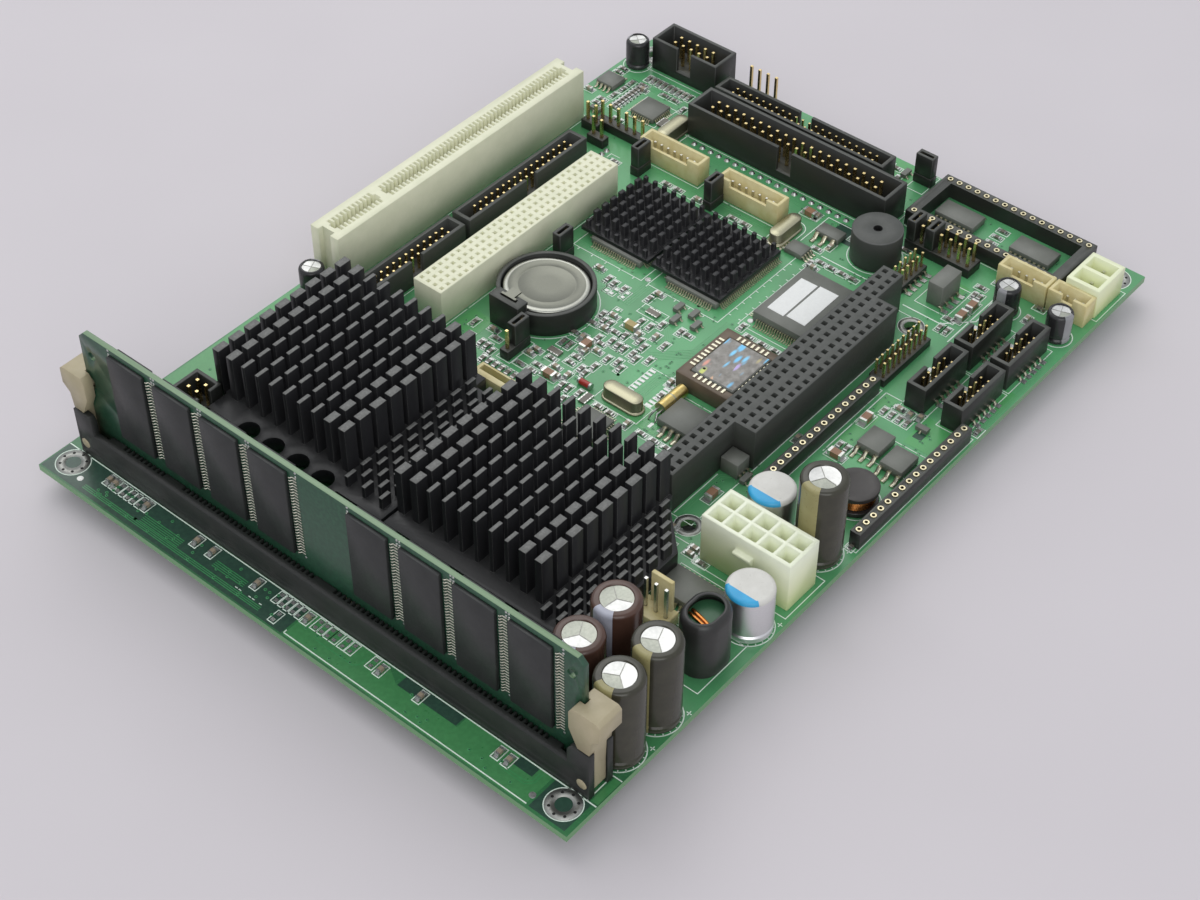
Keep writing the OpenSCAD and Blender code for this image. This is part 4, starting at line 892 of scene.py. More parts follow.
def printed_lines():
    """Printed lines and outlines round the parts, without any text."""
    top = BOARD_TOP + 0.03
    marks = Shape()

    def line(path, width=0.22, closed=False):
        marks.ribbon(path, width, top, top + 0.03, closed)

    def round_line(x, y, radius, width=0.24, steps=40):
        line(circle(x, y, radius, steps), width, True)

    line([(-93.15, -72.9), (-93.15, 72.8)], 0.26)
    line([(-100.75, 0.6), (-100.75, -62.6)], 0.26)
    line([(-93.1, -70.65), (-85.75, -70.65), (-85.75, -72.9)], 0.24)
    line([(-100.75, 0.6), (-99.9, 0.6)])
    for y in (16.2, 15.2, 12.4, 11.4, 9.4):
        line([(-98.6, y + 0.35), (-98.6, y - 0.35)], 0.2)
    for x, y in DARK_CANS + [(-40.8, -67.5), (-17, -54.8)]:
        round_line(x, y, 5.35)
        for k in range(9):
            line([away(x, y, out, 0, 200 + 17.5 * k) for out in (4.8, 5.35)], 0.2)
        for step in ((0.6, 0), (0, 0.6)):
            c = (x + 4.2, y - 4.7)
            line([(c[0] - step[0], c[1] - step[1]), (c[0] + step[0], c[1] + step[1])], 0.2)
    for x, y in BROWN_CANS:
        round_line(x, y, 5.65)
    for x, y in ((-25.4, 68.4), (90.6, 68.8), (70.8, -54.8), (70.8, -68.4)):
        round_line(x, y, 3.6)
    round_line(*BUZZER, 6.5)
    round_line(*DRUM, 5.5)
    round_line(*COIN_CELL, 12.1, 0.26, 48)
    for box in (
        (-34.7, -72.1, -21.6, -48.4), (-60.6, -70.6, -45.4, -60.6), (25.7, -7.9, 56.1, 12.3),
        (25.7, 14.3, 56.1, 34.6), (28.4, -30.0, 53.6, -11.6), (1.9, -31.2, 23.2, -11.8),
        (-26.9, -42.3, 55.3, -30.9), (-11.4, -48.9, 31.3, -45.8), (-11.4, -72.4, 31.3, -69.6),
        (30.0, -61, 47.6, -54.4), (48.2, -61, 66, -54.4), (30.0, -70.4, 47.6, -63.8),
        (48.2, -70.4, 66, -63.8), (60.6, 25.4, 66.2, 44.4), (60.6, 1.6, 66.2, 20.8),
        (75.2, -18.2, 85.4, 41.4), (87.4, -9, 94.4, 42.6), (90.9, 44.2, 101, 65.8),
        (-15.6, 47.1, 46.9, 37.9), (-21, 72.6, 65.2, 64.1), (-25, 51.9, 51.2, 58.9),
        (-11.4, -14.8, -5.7, -2.4), (-5.5, -13.9, 4.6, -6.2), (16.9, 1.6, 20.2, 8.4),
        (81.2, -60.6, 99.8, -20.2), (-25, 9.8, -20, 21.4), (-71.6, 53.6, -64, 62.8),
        (72.4, 48.6, 81.4, 58), (60.4, -46.0, 70.9, -37.4), (93.4, -16.8, 101.2, -12.2),
        (-53.4, -57.9, -49.6, -47.8), (80.9, -72.6, 93.5, -62.6), (-14.6, 18.6, -6.2, 22.5),
        (-48, -61.2, -36.3, -47.2), (12.2, -68.4, 20.2, -54.6),
    ):
        line(corners(*box), 0.2, True)
    for k in range(10):
        x = 29.6 + PITCH * k
        line([(x, -8.7), (x, -7.9)], 0.24)
        line([(x, -11.6), (x, -10.8)], 0.24)
        line([(24.9, -4.2 + 4.1 * k), (25.7, -4.2 + 4.1 * k)], 0.24)
    line([(31.3, -50), (31.3, -54.2)])
    line([(8, -50), (31.3, -50)], 0.24)
    line([(30.2, -71.8), (32, -70.2)])
    line([(-31.3, -38.4), (-31.3, -45.2)], 0.26)
    line([(-26.4, -37.3), (-11.8, -37.3)], 0.24)
    line([(53.6, -50.9), (73.8, -50.9)], 0.3)
    line([(57.6, -36.1), (57.6, -46.2), (63.4, -52), (70.4, -52)], 0.34)
    line([(59.4, -12), (59.4, -27)], 0.3)
    line([(72, -12.6), (72, -5), (60.8, -5)], 0.24)
    line([(57.6, 47.2), (57.6, 49.9), (55.8, 49.9)], 0.2)
    for cx, cy in ((60, -1), (72.9, 43.1)):
        line(stadium(cx, cy, 2.9, 3.3), 0.24, True)
    marks.make("printed_lines", ["print"], "board_green", smooth=0)


# Light parts: places as (x, y, turn in degrees)

RESISTORS = (
    [(-17.2, 24.2 - 1.84 * k, 0) for k in range(6)]
    + [(87.6, 62.4 - 1.6 * k, 0) for k in range(9)]
    + [(72.6 + 1.3 * k, 61.6, 90) for k in range(10)]
    + [
        (-5.8, 8.6, 90), (-3.6, 8.6, 90), (-5.8, 5.4, 0), (-0.3, -1.1, 0), (-12, 0.6, 0),
        (-3.4, 3.6, 0), (4.3, 9, 0), (9.5, 10.1, 0), (9.5, 11.8, 0), (7.4, 13.2, 90), (11, 13.4, 0),
        (5.4, 6, 0), (14.6, 5.2, 0), (0.3, 3.0, 0), (5.2, 4.1, 0), (5.2, 2.4, 0), (14.6, 2.6, 0),
        (16.8, 0.9, 0), (1, 0.6, 0), (5.2, -0.2, 0), (4.3, -1.7, 0), (17.7, -3.7, 0),
        (17.8, -5.6, 90), (21.9, 8.7, 0), (20.7, 18.2, 0), (20.7, 15.2, 0), (21.2, 20.2, 0),
        (8.2, 7.4, 90), (3.2, 7.4, 90), (11.75, -3.9, 0), (5.9, -4.3, 0), (-6.4, 3.9, 0),
        (-7.4, 12.6, 90), (-1.6, 12.4, 0), (-1.6, 14.2, 0), (2.4, 14.4, 90), (8.7, 4.9, 0),
        (9.5, 1.3, 0), (8.4, -0.6, 0), (-12.4, 3.4, 0), (-12.4, 5.2, 0), (-13.2, 13.4, 90),
        (-11, 13.4, 90), (-13.2, 16.8, 90), (-12.5, -5.2, 90), (-12.5, -8.4, 90), (-15.6, 2.2, 0),
        (-13.6, 26.2, 0), (-13.6, 27.9, 0), (-10.4, 26.2, 90), (-14.4, 24.4, 0), (-9.4, 33.6, 0),
        (-7.6, 48.2, 0), (11.5, -53.6, 0), (11.5, -51.8, 0), (26.2, -53, 0), (26.2, -55, 0),
        (26.2, -57, 0), (26.2, -59, 0), (73.8, -46.6, 90), (70.6, -48.2, 0), (70.6, -46.8, 0),
        (56.4, -47, 0), (56.4, -48.8, 0), (60, -47, 90), (55, 0.6, 90), (55.4, -11.6, 0),
        (57.2, -13.4, 90), (57.2, -16.4, 90), (57.2, -19.4, 90), (57.2, -22.4, 90), (69.6, -13.8, 0),
        (60.6, -9.8, 90), (55.6, 47.2, 90), (53.4, 47.2, 90), (68.6, 58.4, 0), (68.6, 56.6, 0),
        (84.4, 54.8, 90), (84.4, 51.6, 90), (82.6, 47.6, 0), (73.2, 66, 90), (71.2, 66, 90),
        (76.4, 64.8, 0), (84.8, 70.2, 90), (86.6, 70.2, 90), (79.8, 64.6, 0), (83, 64.6, 0),
        (97.8, -2.4, 0), (97.8, -4.4, 0), (97.8, -6.4, 90), (94.6, -8.8, 0), (88.8, -39.4, 90),
        (91.4, -39.4, 90), (94, -39.4, 90), (57, 32, 90), (57, 28.6, 90), (57, 12, 90), (57, 8.6, 90),
        (26.2, -27.2, 90), (26.2, -23.6, 90), (26.2, -20, 90), (26.2, -16.4, 90), (28, -13.2, 0),
        (-13, -17.6, 90), (-13, -21, 90), (-13, -24.4, 90), (-1.2, -13.4, 0), (0.2, -40.6, 0),
        (-3.2, -40.4, 0), (-34, -50.4, 90), (-22.6, -44.8, 0), (-6.2, -58.8, 90), (-7.8, -62.4, 0),
        (-55.6, -58.6, 0), (-60.8, -56.6, 90), (-10.4, -70.8, 0), (33.8, -72, 0), (68.2, -62.2, 0),
        (65.8, -62.2, 0), (76.2, -60.6, 90), (77.4, -49, 90), (73.6, -25.6, 90),
    ]
)
CAPACITORS = [
    (-95.1, 57.9, 0), (-95.1, 56.2, 0), (-95.1, 46.5, 0), (-95.2, 31.3, 0), (-95.2, 26.7, 0),
    (-95.3, 13.6, 0), (-95.2, -0.6, 0), (-95.4, -20.6, 0), (-95.2, -30.9, 0), (-95.4, -51.2, 0),
    (-95.6, -53.8, 0), (-9.2, 17.4, 90), (-7.4, 16.8, 90), (-9, 10, 90), (-1, 8.4, 0), (-9.4, 6.2, 0),
    (2.2, 11.8, 0), (10.7, 2.9, 0), (0.8, 6.4, 90), (12.2, 11.2, 90), (12.8, -0.6, 0),
    (7.6, 9.9, 90), (-11, 8, 90), (-34.2, -42.6, 0), (-33.4, -47, 90), (-31.7, -47, 90),
    (28.8, -55.2, 90), (29.4, -60.2, 0), (28.6, -58, 0), (54.6, -13, 90), (63.4, -11.8, 0),
    (70.4, 21.6, 90), (70.4, -2.8, 0), (69.6, 47.4, 0), (57, 22.6, 90), (-8.6, 28.6, 90),
    (22.8, 24.2, 90), (24.4, 8, 90), (3.4, -12.4, 0), (-12.8, -13.4, 0), (82.8, 60.6, 90),
    (74.4, 71.2, 90), (-6.6, 41.2, 0), (71.4, -60.4, 0), (97.6, 0.2, 0), (7.4, -43.8, 0),
    (36.2, -44.4, 0), (-29.8, -39.8, 90), (-47.4, -59.4, 0),
]
BARE_PADS = (
    [(-95.2, 54.6 - 1.58 * k, 0) for k in range(5)]
    + [(-95, 7.7 - 1.53 * k, 0) for k in range(5)]
    + [(-95, y, 0) for y in (-3.2, -4.9, -6.5, -8.3, -10.6, -12.6, -18.2)]
    + [(-98.9, 4.6, 0), (-13.6, 31.6, 0), (90.8, 45.6, 0), (-56.6, -66.2, 90), (18.9, 18.1, 0),
       (18.8, 16.6, 0), (19.4, 13.8, 0), (13.6, 11.9, 0)]
)
BROWN_CAPACITORS = [
    (-12, 9.4, 90), (0.6, 9.4, 0), (8.5, -53, 90), (21.5, -51.6, 0), (-17.6, -40.3, 0),
    (62.4, -48.7, 0), (66.7, -48.7, 0), (70, -1, 90), (-6.2, -50.4, 0),
]
TAN_BLOCKS = [(11.7, 5.6, 90)]
NETWORKS = [
    (-5.3, 13.4, 90), (18.6, 4.9, 90), (-12.4, -1.6, 0), (83.4, 43.4, 90), (75.2, 48, 0),
]
TRANSISTORS = [
    (23.6, 1.5, 0), (19.9, -0.4, 0), (23.9, -2.6, 0), (21.2, -5.3, 0), (-9.6, -42.9, 0),
    (26.6, -62.6, 90), (68.6, 64.2, 90), (97.2, -9.6, 0),
]


def light_parts():
    """Resistors, ceramics, networks and small transistors; gives the places of the transistors' legs."""
    top = BOARD_TOP

    def on(places, lift=0.0):
        return [(x, y, top + lift, turn) for x, y, turn in places]

    def pair(name, places, length, width, height, end, body, ends):
        spread(name + "_bodies", BLOCKS, on(places), body, "chip_grey",
               {"Length": length - 0.3, "Width": width, "Height": height, "Lift": 0.05, "Wobble": 0.05})
        spread(name + "_ends", BLOCKS, on(places), ends, "tin",
               {"Length": end, "Width": width + 0.04, "Height": height + 0.03, "Lift": 0.03,
                "Offset": (length - end) / 2, "Wobble": 0.05})
        spread(name + "_joints", BLOCKS, on(places), "solder", "tin",
               {"Length": end + 0.5, "Width": width + 0.16, "Height": 0.14, "Lift": 0.03,
                "Offset": length / 2 + 0.06})

    pair("resistor", RESISTORS, 1.7, 0.86, 0.5, 0.34, "resistor", "solder")
    pair("ceramic", CAPACITORS, 1.8, 0.96, 0.85, 0.42, "ceramic", "solder")
    pair("brown_ceramic", BROWN_CAPACITORS, 3.3, 1.7, 1.4, 0.6, "umber", "tin")
    pair("tan_block", TAN_BLOCKS, 3.4, 1.6, 1.5, 0.5, "amber", "tin")
    spread("bare_pads", BLOCKS, on(BARE_PADS), "solder", "tin",
           {"Length": 0.8, "Width": 0.9, "Height": 0.09, "Lift": 0.03, "Offset": 0.85})
    spread("network_bodies", BLOCKS, on(NETWORKS), "resistor", "chip_grey",
           {"Length": 3.3, "Width": 1.4, "Height": 0.5, "Lift": 0.05})
    pins = []
    for x, y, turn in NETWORKS:
        pins += [(*away(x, y, step, 0, turn), turn + 90) for step in evenly(4, 0.84)]
    spread("network_ends", BLOCKS, on(pins), "tin", "tin",
           {"Length": 0.45, "Width": 0.7, "Height": 0.5, "Lift": 0.03, "Offset": 0.75})
    spread("transistor_bodies", BLOCKS, on(TRANSISTORS), "epoxy", "chip_grey",
           {"Length": 2.9, "Width": 1.35, "Height": 1.0, "Lift": 0.12})
    legs = []
    for x, y, turn in TRANSISTORS:
        for u, v, extra in ((-0.95, -0.6, -90), (0.95, -0.6, -90), (0, 0.6, 90)):
            legs.append((*away(x, y, u, v, turn), turn + extra))
    small = on(RESISTORS + CAPACITORS + list(BARE_PADS), 0.03)
    spread("part_outlines", OUTLINES, small, "print", "board_green",
           {"Length": 3.2, "Width": 1.8, "Line": 0.32, "Height": 0.03})
    spread("large_part_outlines", OUTLINES, on(BROWN_CAPACITORS + TAN_BLOCKS, 0.03), "print",
           "board_green", {"Length": 4.9, "Width": 2.6, "Line": 0.26, "Height": 0.03})
    return legs


def vias():
    """Plated holes scattered where tracks change sides, with the fastening rings and solder."""
    top = BOARD_TOP
    pick = random.Random(5)
    raster = PITCH / 4
    spots = []
    for x0, y0, x1, y1, count in (
        (-100, 2, -94, 60, 46), (-100, -60, -96, -2, 16), (-14, -24, 28, 22, 150),
        (54, -30, 74, 72, 80), (74, 44, 90, 72, 30), (6, -56, 34, -48, 22), (-32, -48, -4, -38, 16),
        (30, -46, 74, -43, 16), (-64, 60, -26, 72, 20), (86, -18, 100, 2, 12), (-14, 28, -6, 48, 16),
        (84, -60, 96, -22, 26), (-92, 56, -72, 72, 10), (20, -70, 34, -60, 12),
    ):
        for _ in range(count):
            x = round(pick.uniform(x0, x1) / raster) * raster
            y = round(pick.uniform(y0, y1) / raster) * raster
            spots.append((x, y, top))
    spread("vias", RINGS, spots, "track", "board_green",
           {"Radius": 0.27, "Width": 0.2, "Height": 0.05, "Lift": 0.045, "Sides": 10})
    spread("via_bores", ROUNDS, spots, "bare", "board_green",
           {"Foot": 0.17, "Top": 0.17, "Height": 0.05, "Sides": 8})
    holes = [(x, y) for x in (-96.52, 96.52) for y in (-67.945, 67.945)]
    inner = [(12.7 + s * 40.005, -41.8) for s in (-1, 1)]

    def rings(name, places, radius, width, edge, line):
        """Tinned rings, each with a printed line round it."""
        on = [(x, y, top) for x, y in places]
        spread(name + "s", RINGS, on, "ring", "tin",
               {"Radius": radius, "Width": width, "Height": 0.07, "Lift": 0.035, "Sides": 40})
        spread(name + "_edges", RINGS, on, "print", "board_green",
               {"Radius": edge, "Width": line, "Height": 0.06, "Lift": 0.03, "Sides": 44})

    rings("fastening_ring", holes, 2.65, 1.9, 3.75, 0.22)
    dots = [(*away(x, y, 2.75, 0, 45 * k), top) for x, y in holes for k in range(8)]
    # Painted shade: the small holes round the fastening rings are near-black caps
    spread("ring_vias", ROUNDS, dots, "hole_shade", "tin",
           {"Foot": 0.33, "Top": 0.33, "Height": 0.08, "Sides": 10})
    rings("inner_ring", inner, 2.3, 1.35, 3.05, 0.2)
    spread("small_round_pads", ROUNDS, [(-98.7, 63.2, top), (-98.6, -62.2, top), (-37.7, -45.8, top),
                                        (27.0, 13.3, top), (30.9, -13.2, top)],
           "solder", "tin",
           {"Foot": 0.75, "Top": 0.7, "Height": 0.08, "Sides": 20})
    joints = [(73.85, 11.6 + PITCH * k, top) for k in range(-8, 11)]
    joints += [(56.9 + step, 51.6, top) for step in evenly(2, 1.8)]
    spread("solder_bumps", ROUNDS, joints, "solder", "tin",
           {"Foot": 0.8, "Top": 0.34, "Height": 0.5, "Sides": 14})


def chip_leads(transistor_legs):
    """Leads of the flat packages, the soldered feet of small connectors and some pads left open."""
    top = BOARD_TOP
    both_x, both_y = (0, 180), (90, 270)
    rows = {"fine": [], "low": [], "wide": [], "broad": []}
    # Directions of the sides, then for each package: kind of lead, centre, distance out, leads, pitch
    for turns, packages in (
        (both_x, (
            ("fine", 41.2, -20.5, 10.0, 18, 0.65), ("wide", -42.1, -54.2, 3.75, 10, 1.27),
            ("wide", 91.2, -29, 2.8, 8, 1.27), ("wide", 91.2, -49.6, 2.8, 8, 1.27),
            ("wide", 79.9, 68.8, 2.5, 4, 1.27),
        )),
        (both_y, (
            ("fine", 41.2, -20.5, 7.0, 28, 0.65), ("wide", 57, -6.9, 2.45, 4, 1.0),
            ("fine", -19.1, -7.7, 4.0, 12, 0.65), ("wide", -8.6, -39.25, 2.25, 3, 1.3),
        )),
        (both_x, (("low", 40.9, 24.5, 12.2, 20, 0.65),)),
        (both_y, (("low", 40.9, 24.5, 7.3, 34, 0.65),)),
        (both_x, (("low", 40.9, 2.3, 12.2, 20, 0.65),)),
        (both_y, (("low", 40.9, 2.3, 7.3, 34, 0.65),)),
        ((0, 90, 180, 270), (("low", 76.8, 53.3, 3.5, 9, 0.65),)),
        (both_x, (("fine", -19.1, -7.7, 4.3, 10, 0.65),)),
        ((270,), (("wide", 64.8, -43.5, 0.0, 4, 2.2), ("wide", 65.4, -33.8, 0.0, 5, 2.0))),
        ((90,), (("wide", 65.4, -29.8, 0.0, 5, 2.0),)),
        ((180,), (
            ("broad", -4.5, -23.6, 4.2, 4, 1.8), ("broad", 66.6, -9.4, 1.8, 3, 2.3),
            ("broad", 16.2, -57.8, 3.2, 3, 2.3), ("broad", 14.4, -64.9, 3.2, 3, 2.3),
        )),
    ):
        for turn in turns:
            for kind, cx, cy, out, count, pitch in packages:
                rows[kind] += [(*away(cx, cy, out, step, turn), top, turn) for step in evenly(count, pitch)]
    headers = ((39.4, -60.1), (57.5, -60.1), (39.4, -69.5), (57.5, -69.5))
    for cx, cy in headers:
        for y, turn in ((cy, 270), (cy + 5.5, 90)):
            rows["wide"] += [(*away(cx, y, 0.0, step, turn), top, turn) for step in evenly(5, 2.0)]
    spread("fine_leads", LEADS, rows["fine"], "lead_tin", "tin",
           {"Shoulder": 0.35, "Reach": 0.5, "Foot": 0.95, "Drop": 1.3, "Width": 0.34, "Thickness": 0.14})
    spread("low_leads", LEADS, rows["low"], "lead_tin", "tin",
           {"Shoulder": 0.25, "Reach": 0.4, "Foot": 0.75, "Drop": 0.85, "Width": 0.34, "Thickness": 0.14})
    spread("wide_leads", LEADS, rows["wide"], "lead_tin", "tin",
           {"Shoulder": 0.3, "Reach": 0.5, "Foot": 0.75, "Drop": 0.9, "Width": 0.6, "Thickness": 0.22})
    spread("broad_leads", LEADS, rows["broad"], "lead_tin", "tin",
           {"Shoulder": 0.5, "Reach": 0.9, "Foot": 1.5, "Drop": 1.2, "Width": 1.0, "Thickness": 0.35})
    feet = []
    toes = [(x, y - 1.1) for x, y in headers] + [(x, y + 5.5 + 1.1) for x, y in headers]
    for x, y in toes + [(65.4, -34.9), (65.4, -28.7)]:
        feet += [(x + 2 * k - 4, y, top, 90) for k in range(5)]
    feet += [(61.5 + 2.2 * k, -44.7, top, 90) for k in range(4)]
    spread("header_feet", BLOCKS, feet, "solder", "tin",
           {"Length": 1.7, "Width": 1.15, "Height": 0.26, "Wobble": 0.04})
    pads = [(-9.6, -17.4, top, 0), (-9.4, -19.8, top, 0), (-16.3, -23.8, top, 0)]
    pads += [(1.27 * k - 5.1, y, top, 90) for k in range(8) for y in (-7.0, -13.1)]
    spread("open_pads", BLOCKS, pads, "solder", "tin", {"Length": 1.6, "Width": 0.75, "Height": 0.09})
    legs = [(x, y, top, turn) for x, y, turn in transistor_legs]
    spread("transistor_legs", LEADS, legs, "lead_tin", "tin",
           {"Shoulder": 0.1, "Reach": 0.35, "Foot": 0.35, "Drop": 0.55, "Width": 0.45, "Thickness": 0.15})


# Round parts that replace their solids

# How far the wires of round parts reach below the board
TAIL = 1.6
# Order of a sleeved can's finishes; NEAR is the sector of its top that faces the camera, which takes the
# other of the lid's two copies, lit and shaded, as painted light and shade
SLEEVE, STRIPE, TOP, CREASE, WIRES, NEAR = range(6)


def lead_wires(shape, at, gap, tag):
    for s in (-1, 1):
        x = at[0] + s * gap / 2
        shape.turned((x, at[1]), [(0.2, -TAIL), (0.25, -TAIL + 0.1), (0.25, BOARD_TOP + 0.4)], 8, tag)


def pressed_top(shape, at, radius, height, arms):
    """A can's top, pressed into flat sectors that meet in creases, with a thin darker line in each crease
    as painted shade; the sector towards 222 degrees takes the NEAR finish, so that lit and shaded copies of
    the lid paint light and shade on it.
    """
    steps = 48
    dip = 0.3 * radius / 3.4
    around = circle(*at, radius, steps)
    points = [(*at, height - dip)]
    for k, (x, y) in enumerate(around):
        near = min(abs(math.remainder(FULL * k / steps - arm, FULL)) for arm in arms)
        rise = dip * (0.35 + 0.65 * min(1, near / math.radians(60)))
        points.append((x, y, height - dip + rise))
    points += [(x, y, height - 0.9) for x, y in around]
    faces = []
    for k in range(steps):
        m = (k + 1) % steps
        faces.append((0, 1 + k, 1 + m))
        faces.append((1 + k, 1 + steps + k, 1 + steps + m, 1 + m))
    faces.append(tuple(1 + steps + k for k in range(steps))[::-1])
    shape.shell(points, faces, TOP)
    turns = sorted(arm % FULL for arm in arms)

    def sector(angle):
        return sum(angle % FULL > turn for turn in turns) % len(turns)

    first = len(shape.tags) - len(faces)
    # Painted light and shade: the sector towards 222 degrees takes the NEAR finish instead of the top's
    for k in range(steps):
        if sector(FULL * (k + 0.5) / steps) == sector(math.radians(222)):
            shape.tags[first + 2 * k] = NEAR
    half = 0.09 * radius / 3.4
    for arm in arms:
        c, s = math.cos(arm), math.sin(arm)
        ends = []
        for r, z in ((0.0, height - dip), (radius * 0.93, height - dip * 0.65)):
            for side in (-half, half):
                x, y = at[0] + r * c - side * s, at[1] + r * s + side * c
                ends += [(x, y, z - 0.05), (x, y, z + 0.05)]
        shape.shell(ends, [(1, 3, 7, 5), (0, 4, 6, 2), (0, 1, 5, 4), (2, 6, 7, 3), (0, 2, 3, 1),
                           (4, 5, 7, 6)], CREASE)


def sleeved_cans(name, solid, slot, finishes, sizes, groove, apart, arms, rows):
    """Capacitors with a shrunk sleeve, a lip over the can's edge and one stripe.

    sizes are the radius, the height and the lip's radius, and apart is the distance of the wires. Each row
    is a can's place, the turn of its pressed top, and the middle and half width of its stripe.
    """
    z = BOARD_TOP
    radius, height, lip = sizes
    profile = [
        (radius - 0.5, z), (radius - 0.06, z + 0.3), (radius, z + 0.6), (radius, z + groove),
        (radius - 0.3, z + groove + 0.4), (radius, z + groove + 0.8), (radius, z + height - 0.9),
        (radius - 0.12, z + height - 0.45), (radius - 0.42, z + height - 0.12),
        (radius - 0.85, z + height), (lip + 0.18, z + height), (lip, z + height - 0.16),
        (lip - 0.05, z + height - 0.5),
    ]
    shape = Shape()
    for at, turn, middle, half in rows:
        def paint(angle, row):
            striped = abs(math.remainder(angle - middle, FULL)) < half and 1 <= row <= 9
            return STRIPE if striped else SLEEVE

        shape.turned(at, profile, 48, SLEEVE, paint)
        pressed_top(shape, at, lip - 0.02, z + height - 0.12, [turn + arm for arm in arms])
        lead_wires(shape, at, apart, WIRES)
    shape.make(name, finishes, slot, stands_for=(solid,))


def cans():
    pi, third = math.pi, FULL / 3
    # Each list gives the top's lid third, the crease's painted shade fourth and the NEAR sector's lid last:
    # dark and small cans get a shaded near sector, brown cans a lit one, painted light and shade
    sleeved_cans(
        "dark_cans", "dark_capacitors", "olive_sleeve",
        ["olive", "stripe", "lid", "crease", "tin", "lid_shaded"], (5.0, 22.0, 3.2), 1.6, 5.0,
        (0, 1.75, pi + 0.55),
        [(at, turn, pi - 0.05, 0.5) for at, turn in zip(DARK_CANS, (0.35, 0.35, 0.9))],
    )
    sleeved_cans(
        "brown_cans", "brown_capacitors", "brown_sleeve",
        ["russet", "lilac", "lid_shaded", "crease", "tin", "lid"], (5.0, 22.0, 3.25), 1.6, 5.0,
        (0, third, -third),
        [(at, turn, pi + 0.05, 0.42) for at, turn in zip(BROWN_CANS, (0.5, 0.9))],
    )
    sleeved_cans(
        "small_cans", "small_capacitors", "dark_sleeve",
        ["jet", "ash", "lid", "crease", "tin", "lid_shaded"], (3.0, 7.8, 2.3), 1.0, 2.5,
        (0, pi / 2, pi, -pi / 2),
        [(at, 0.4 + 0.5 * k, pi * (0.1 + 0.45 * k), 0.45) for k, at in enumerate(SMALL_CANS)],
    )
    bare = Shape()
    z = BOARD_TOP
    r = 5.0
    profile = [
        (r - 0.7, z + 0.02), (r - 0.25, z + 0.25), (r, z + 0.5), (r, z + 1.6), (r - 0.33, z + 2.0),
        (r, z + 2.4), (r, z + 11.1), (r - 0.1, z + 11.5), (r - 0.35, z + 11.82), (r - 0.7, z + 11.96),
        (r - 0.85, z + 11.97),
    ]
    half = math.radians(52)

    def paint(angle, row):
        if row < 6:
            return 0
        return 1 if abs(math.remainder(angle - pi, FULL)) < math.radians(56) else 2

    for at in POLYMER_CANS:
        bare.turned(at, profile, 64, 2, paint)
        lead_wires(bare, at, 5.0, 3)
        bare.prism(circle(*at, r - 0.85, 24, pi - half, 2 * half), z + 11.95, z + 11.985, 1)
    bare.make("polymer_cans", ["can", "blue", "enamel", "tin"], "aluminium_can",
              stands_for=("polymer_capacitors",))


def small_rounds():
    """A glass diode, and the gold jacket and wires of the crystal that lies on the board."""
    shape = Shape()
    z = BOARD_TOP + 0.85
    shape.tube([(-9.35, -0.4, z), (-9.35, 2.8, z)], 0.75, 16, 0)
    for low, high in ((-0.6, -0.1), (2.5, 3.0)):
        shape.tube([(-9.35, low, z), (-9.35, high, z)], 0.8, 16, 1)
    z = BOARD_TOP + 1.5
    for low, high in ((-5.5, -1.9), (-1.5, 2.3)):
        shape.tube([(low, -16.7, z), (high, -16.7, z)], 1.53, 24, 2)
    for step in (-0.55, 0.55):
        near, far = -16.7 + step, -16.7 + step * 1.6
        shape.tube([(-5.6, near, z), (-7.4, near, z), (-8.2, far, BOARD_TOP + 0.5),
                    (-8.4, far, BOARD_TOP + 0.05)], 0.24, 8, 1)
    shape.make("diode_and_crystal_jacket", ["red", "solder", "jacket"], "tin")


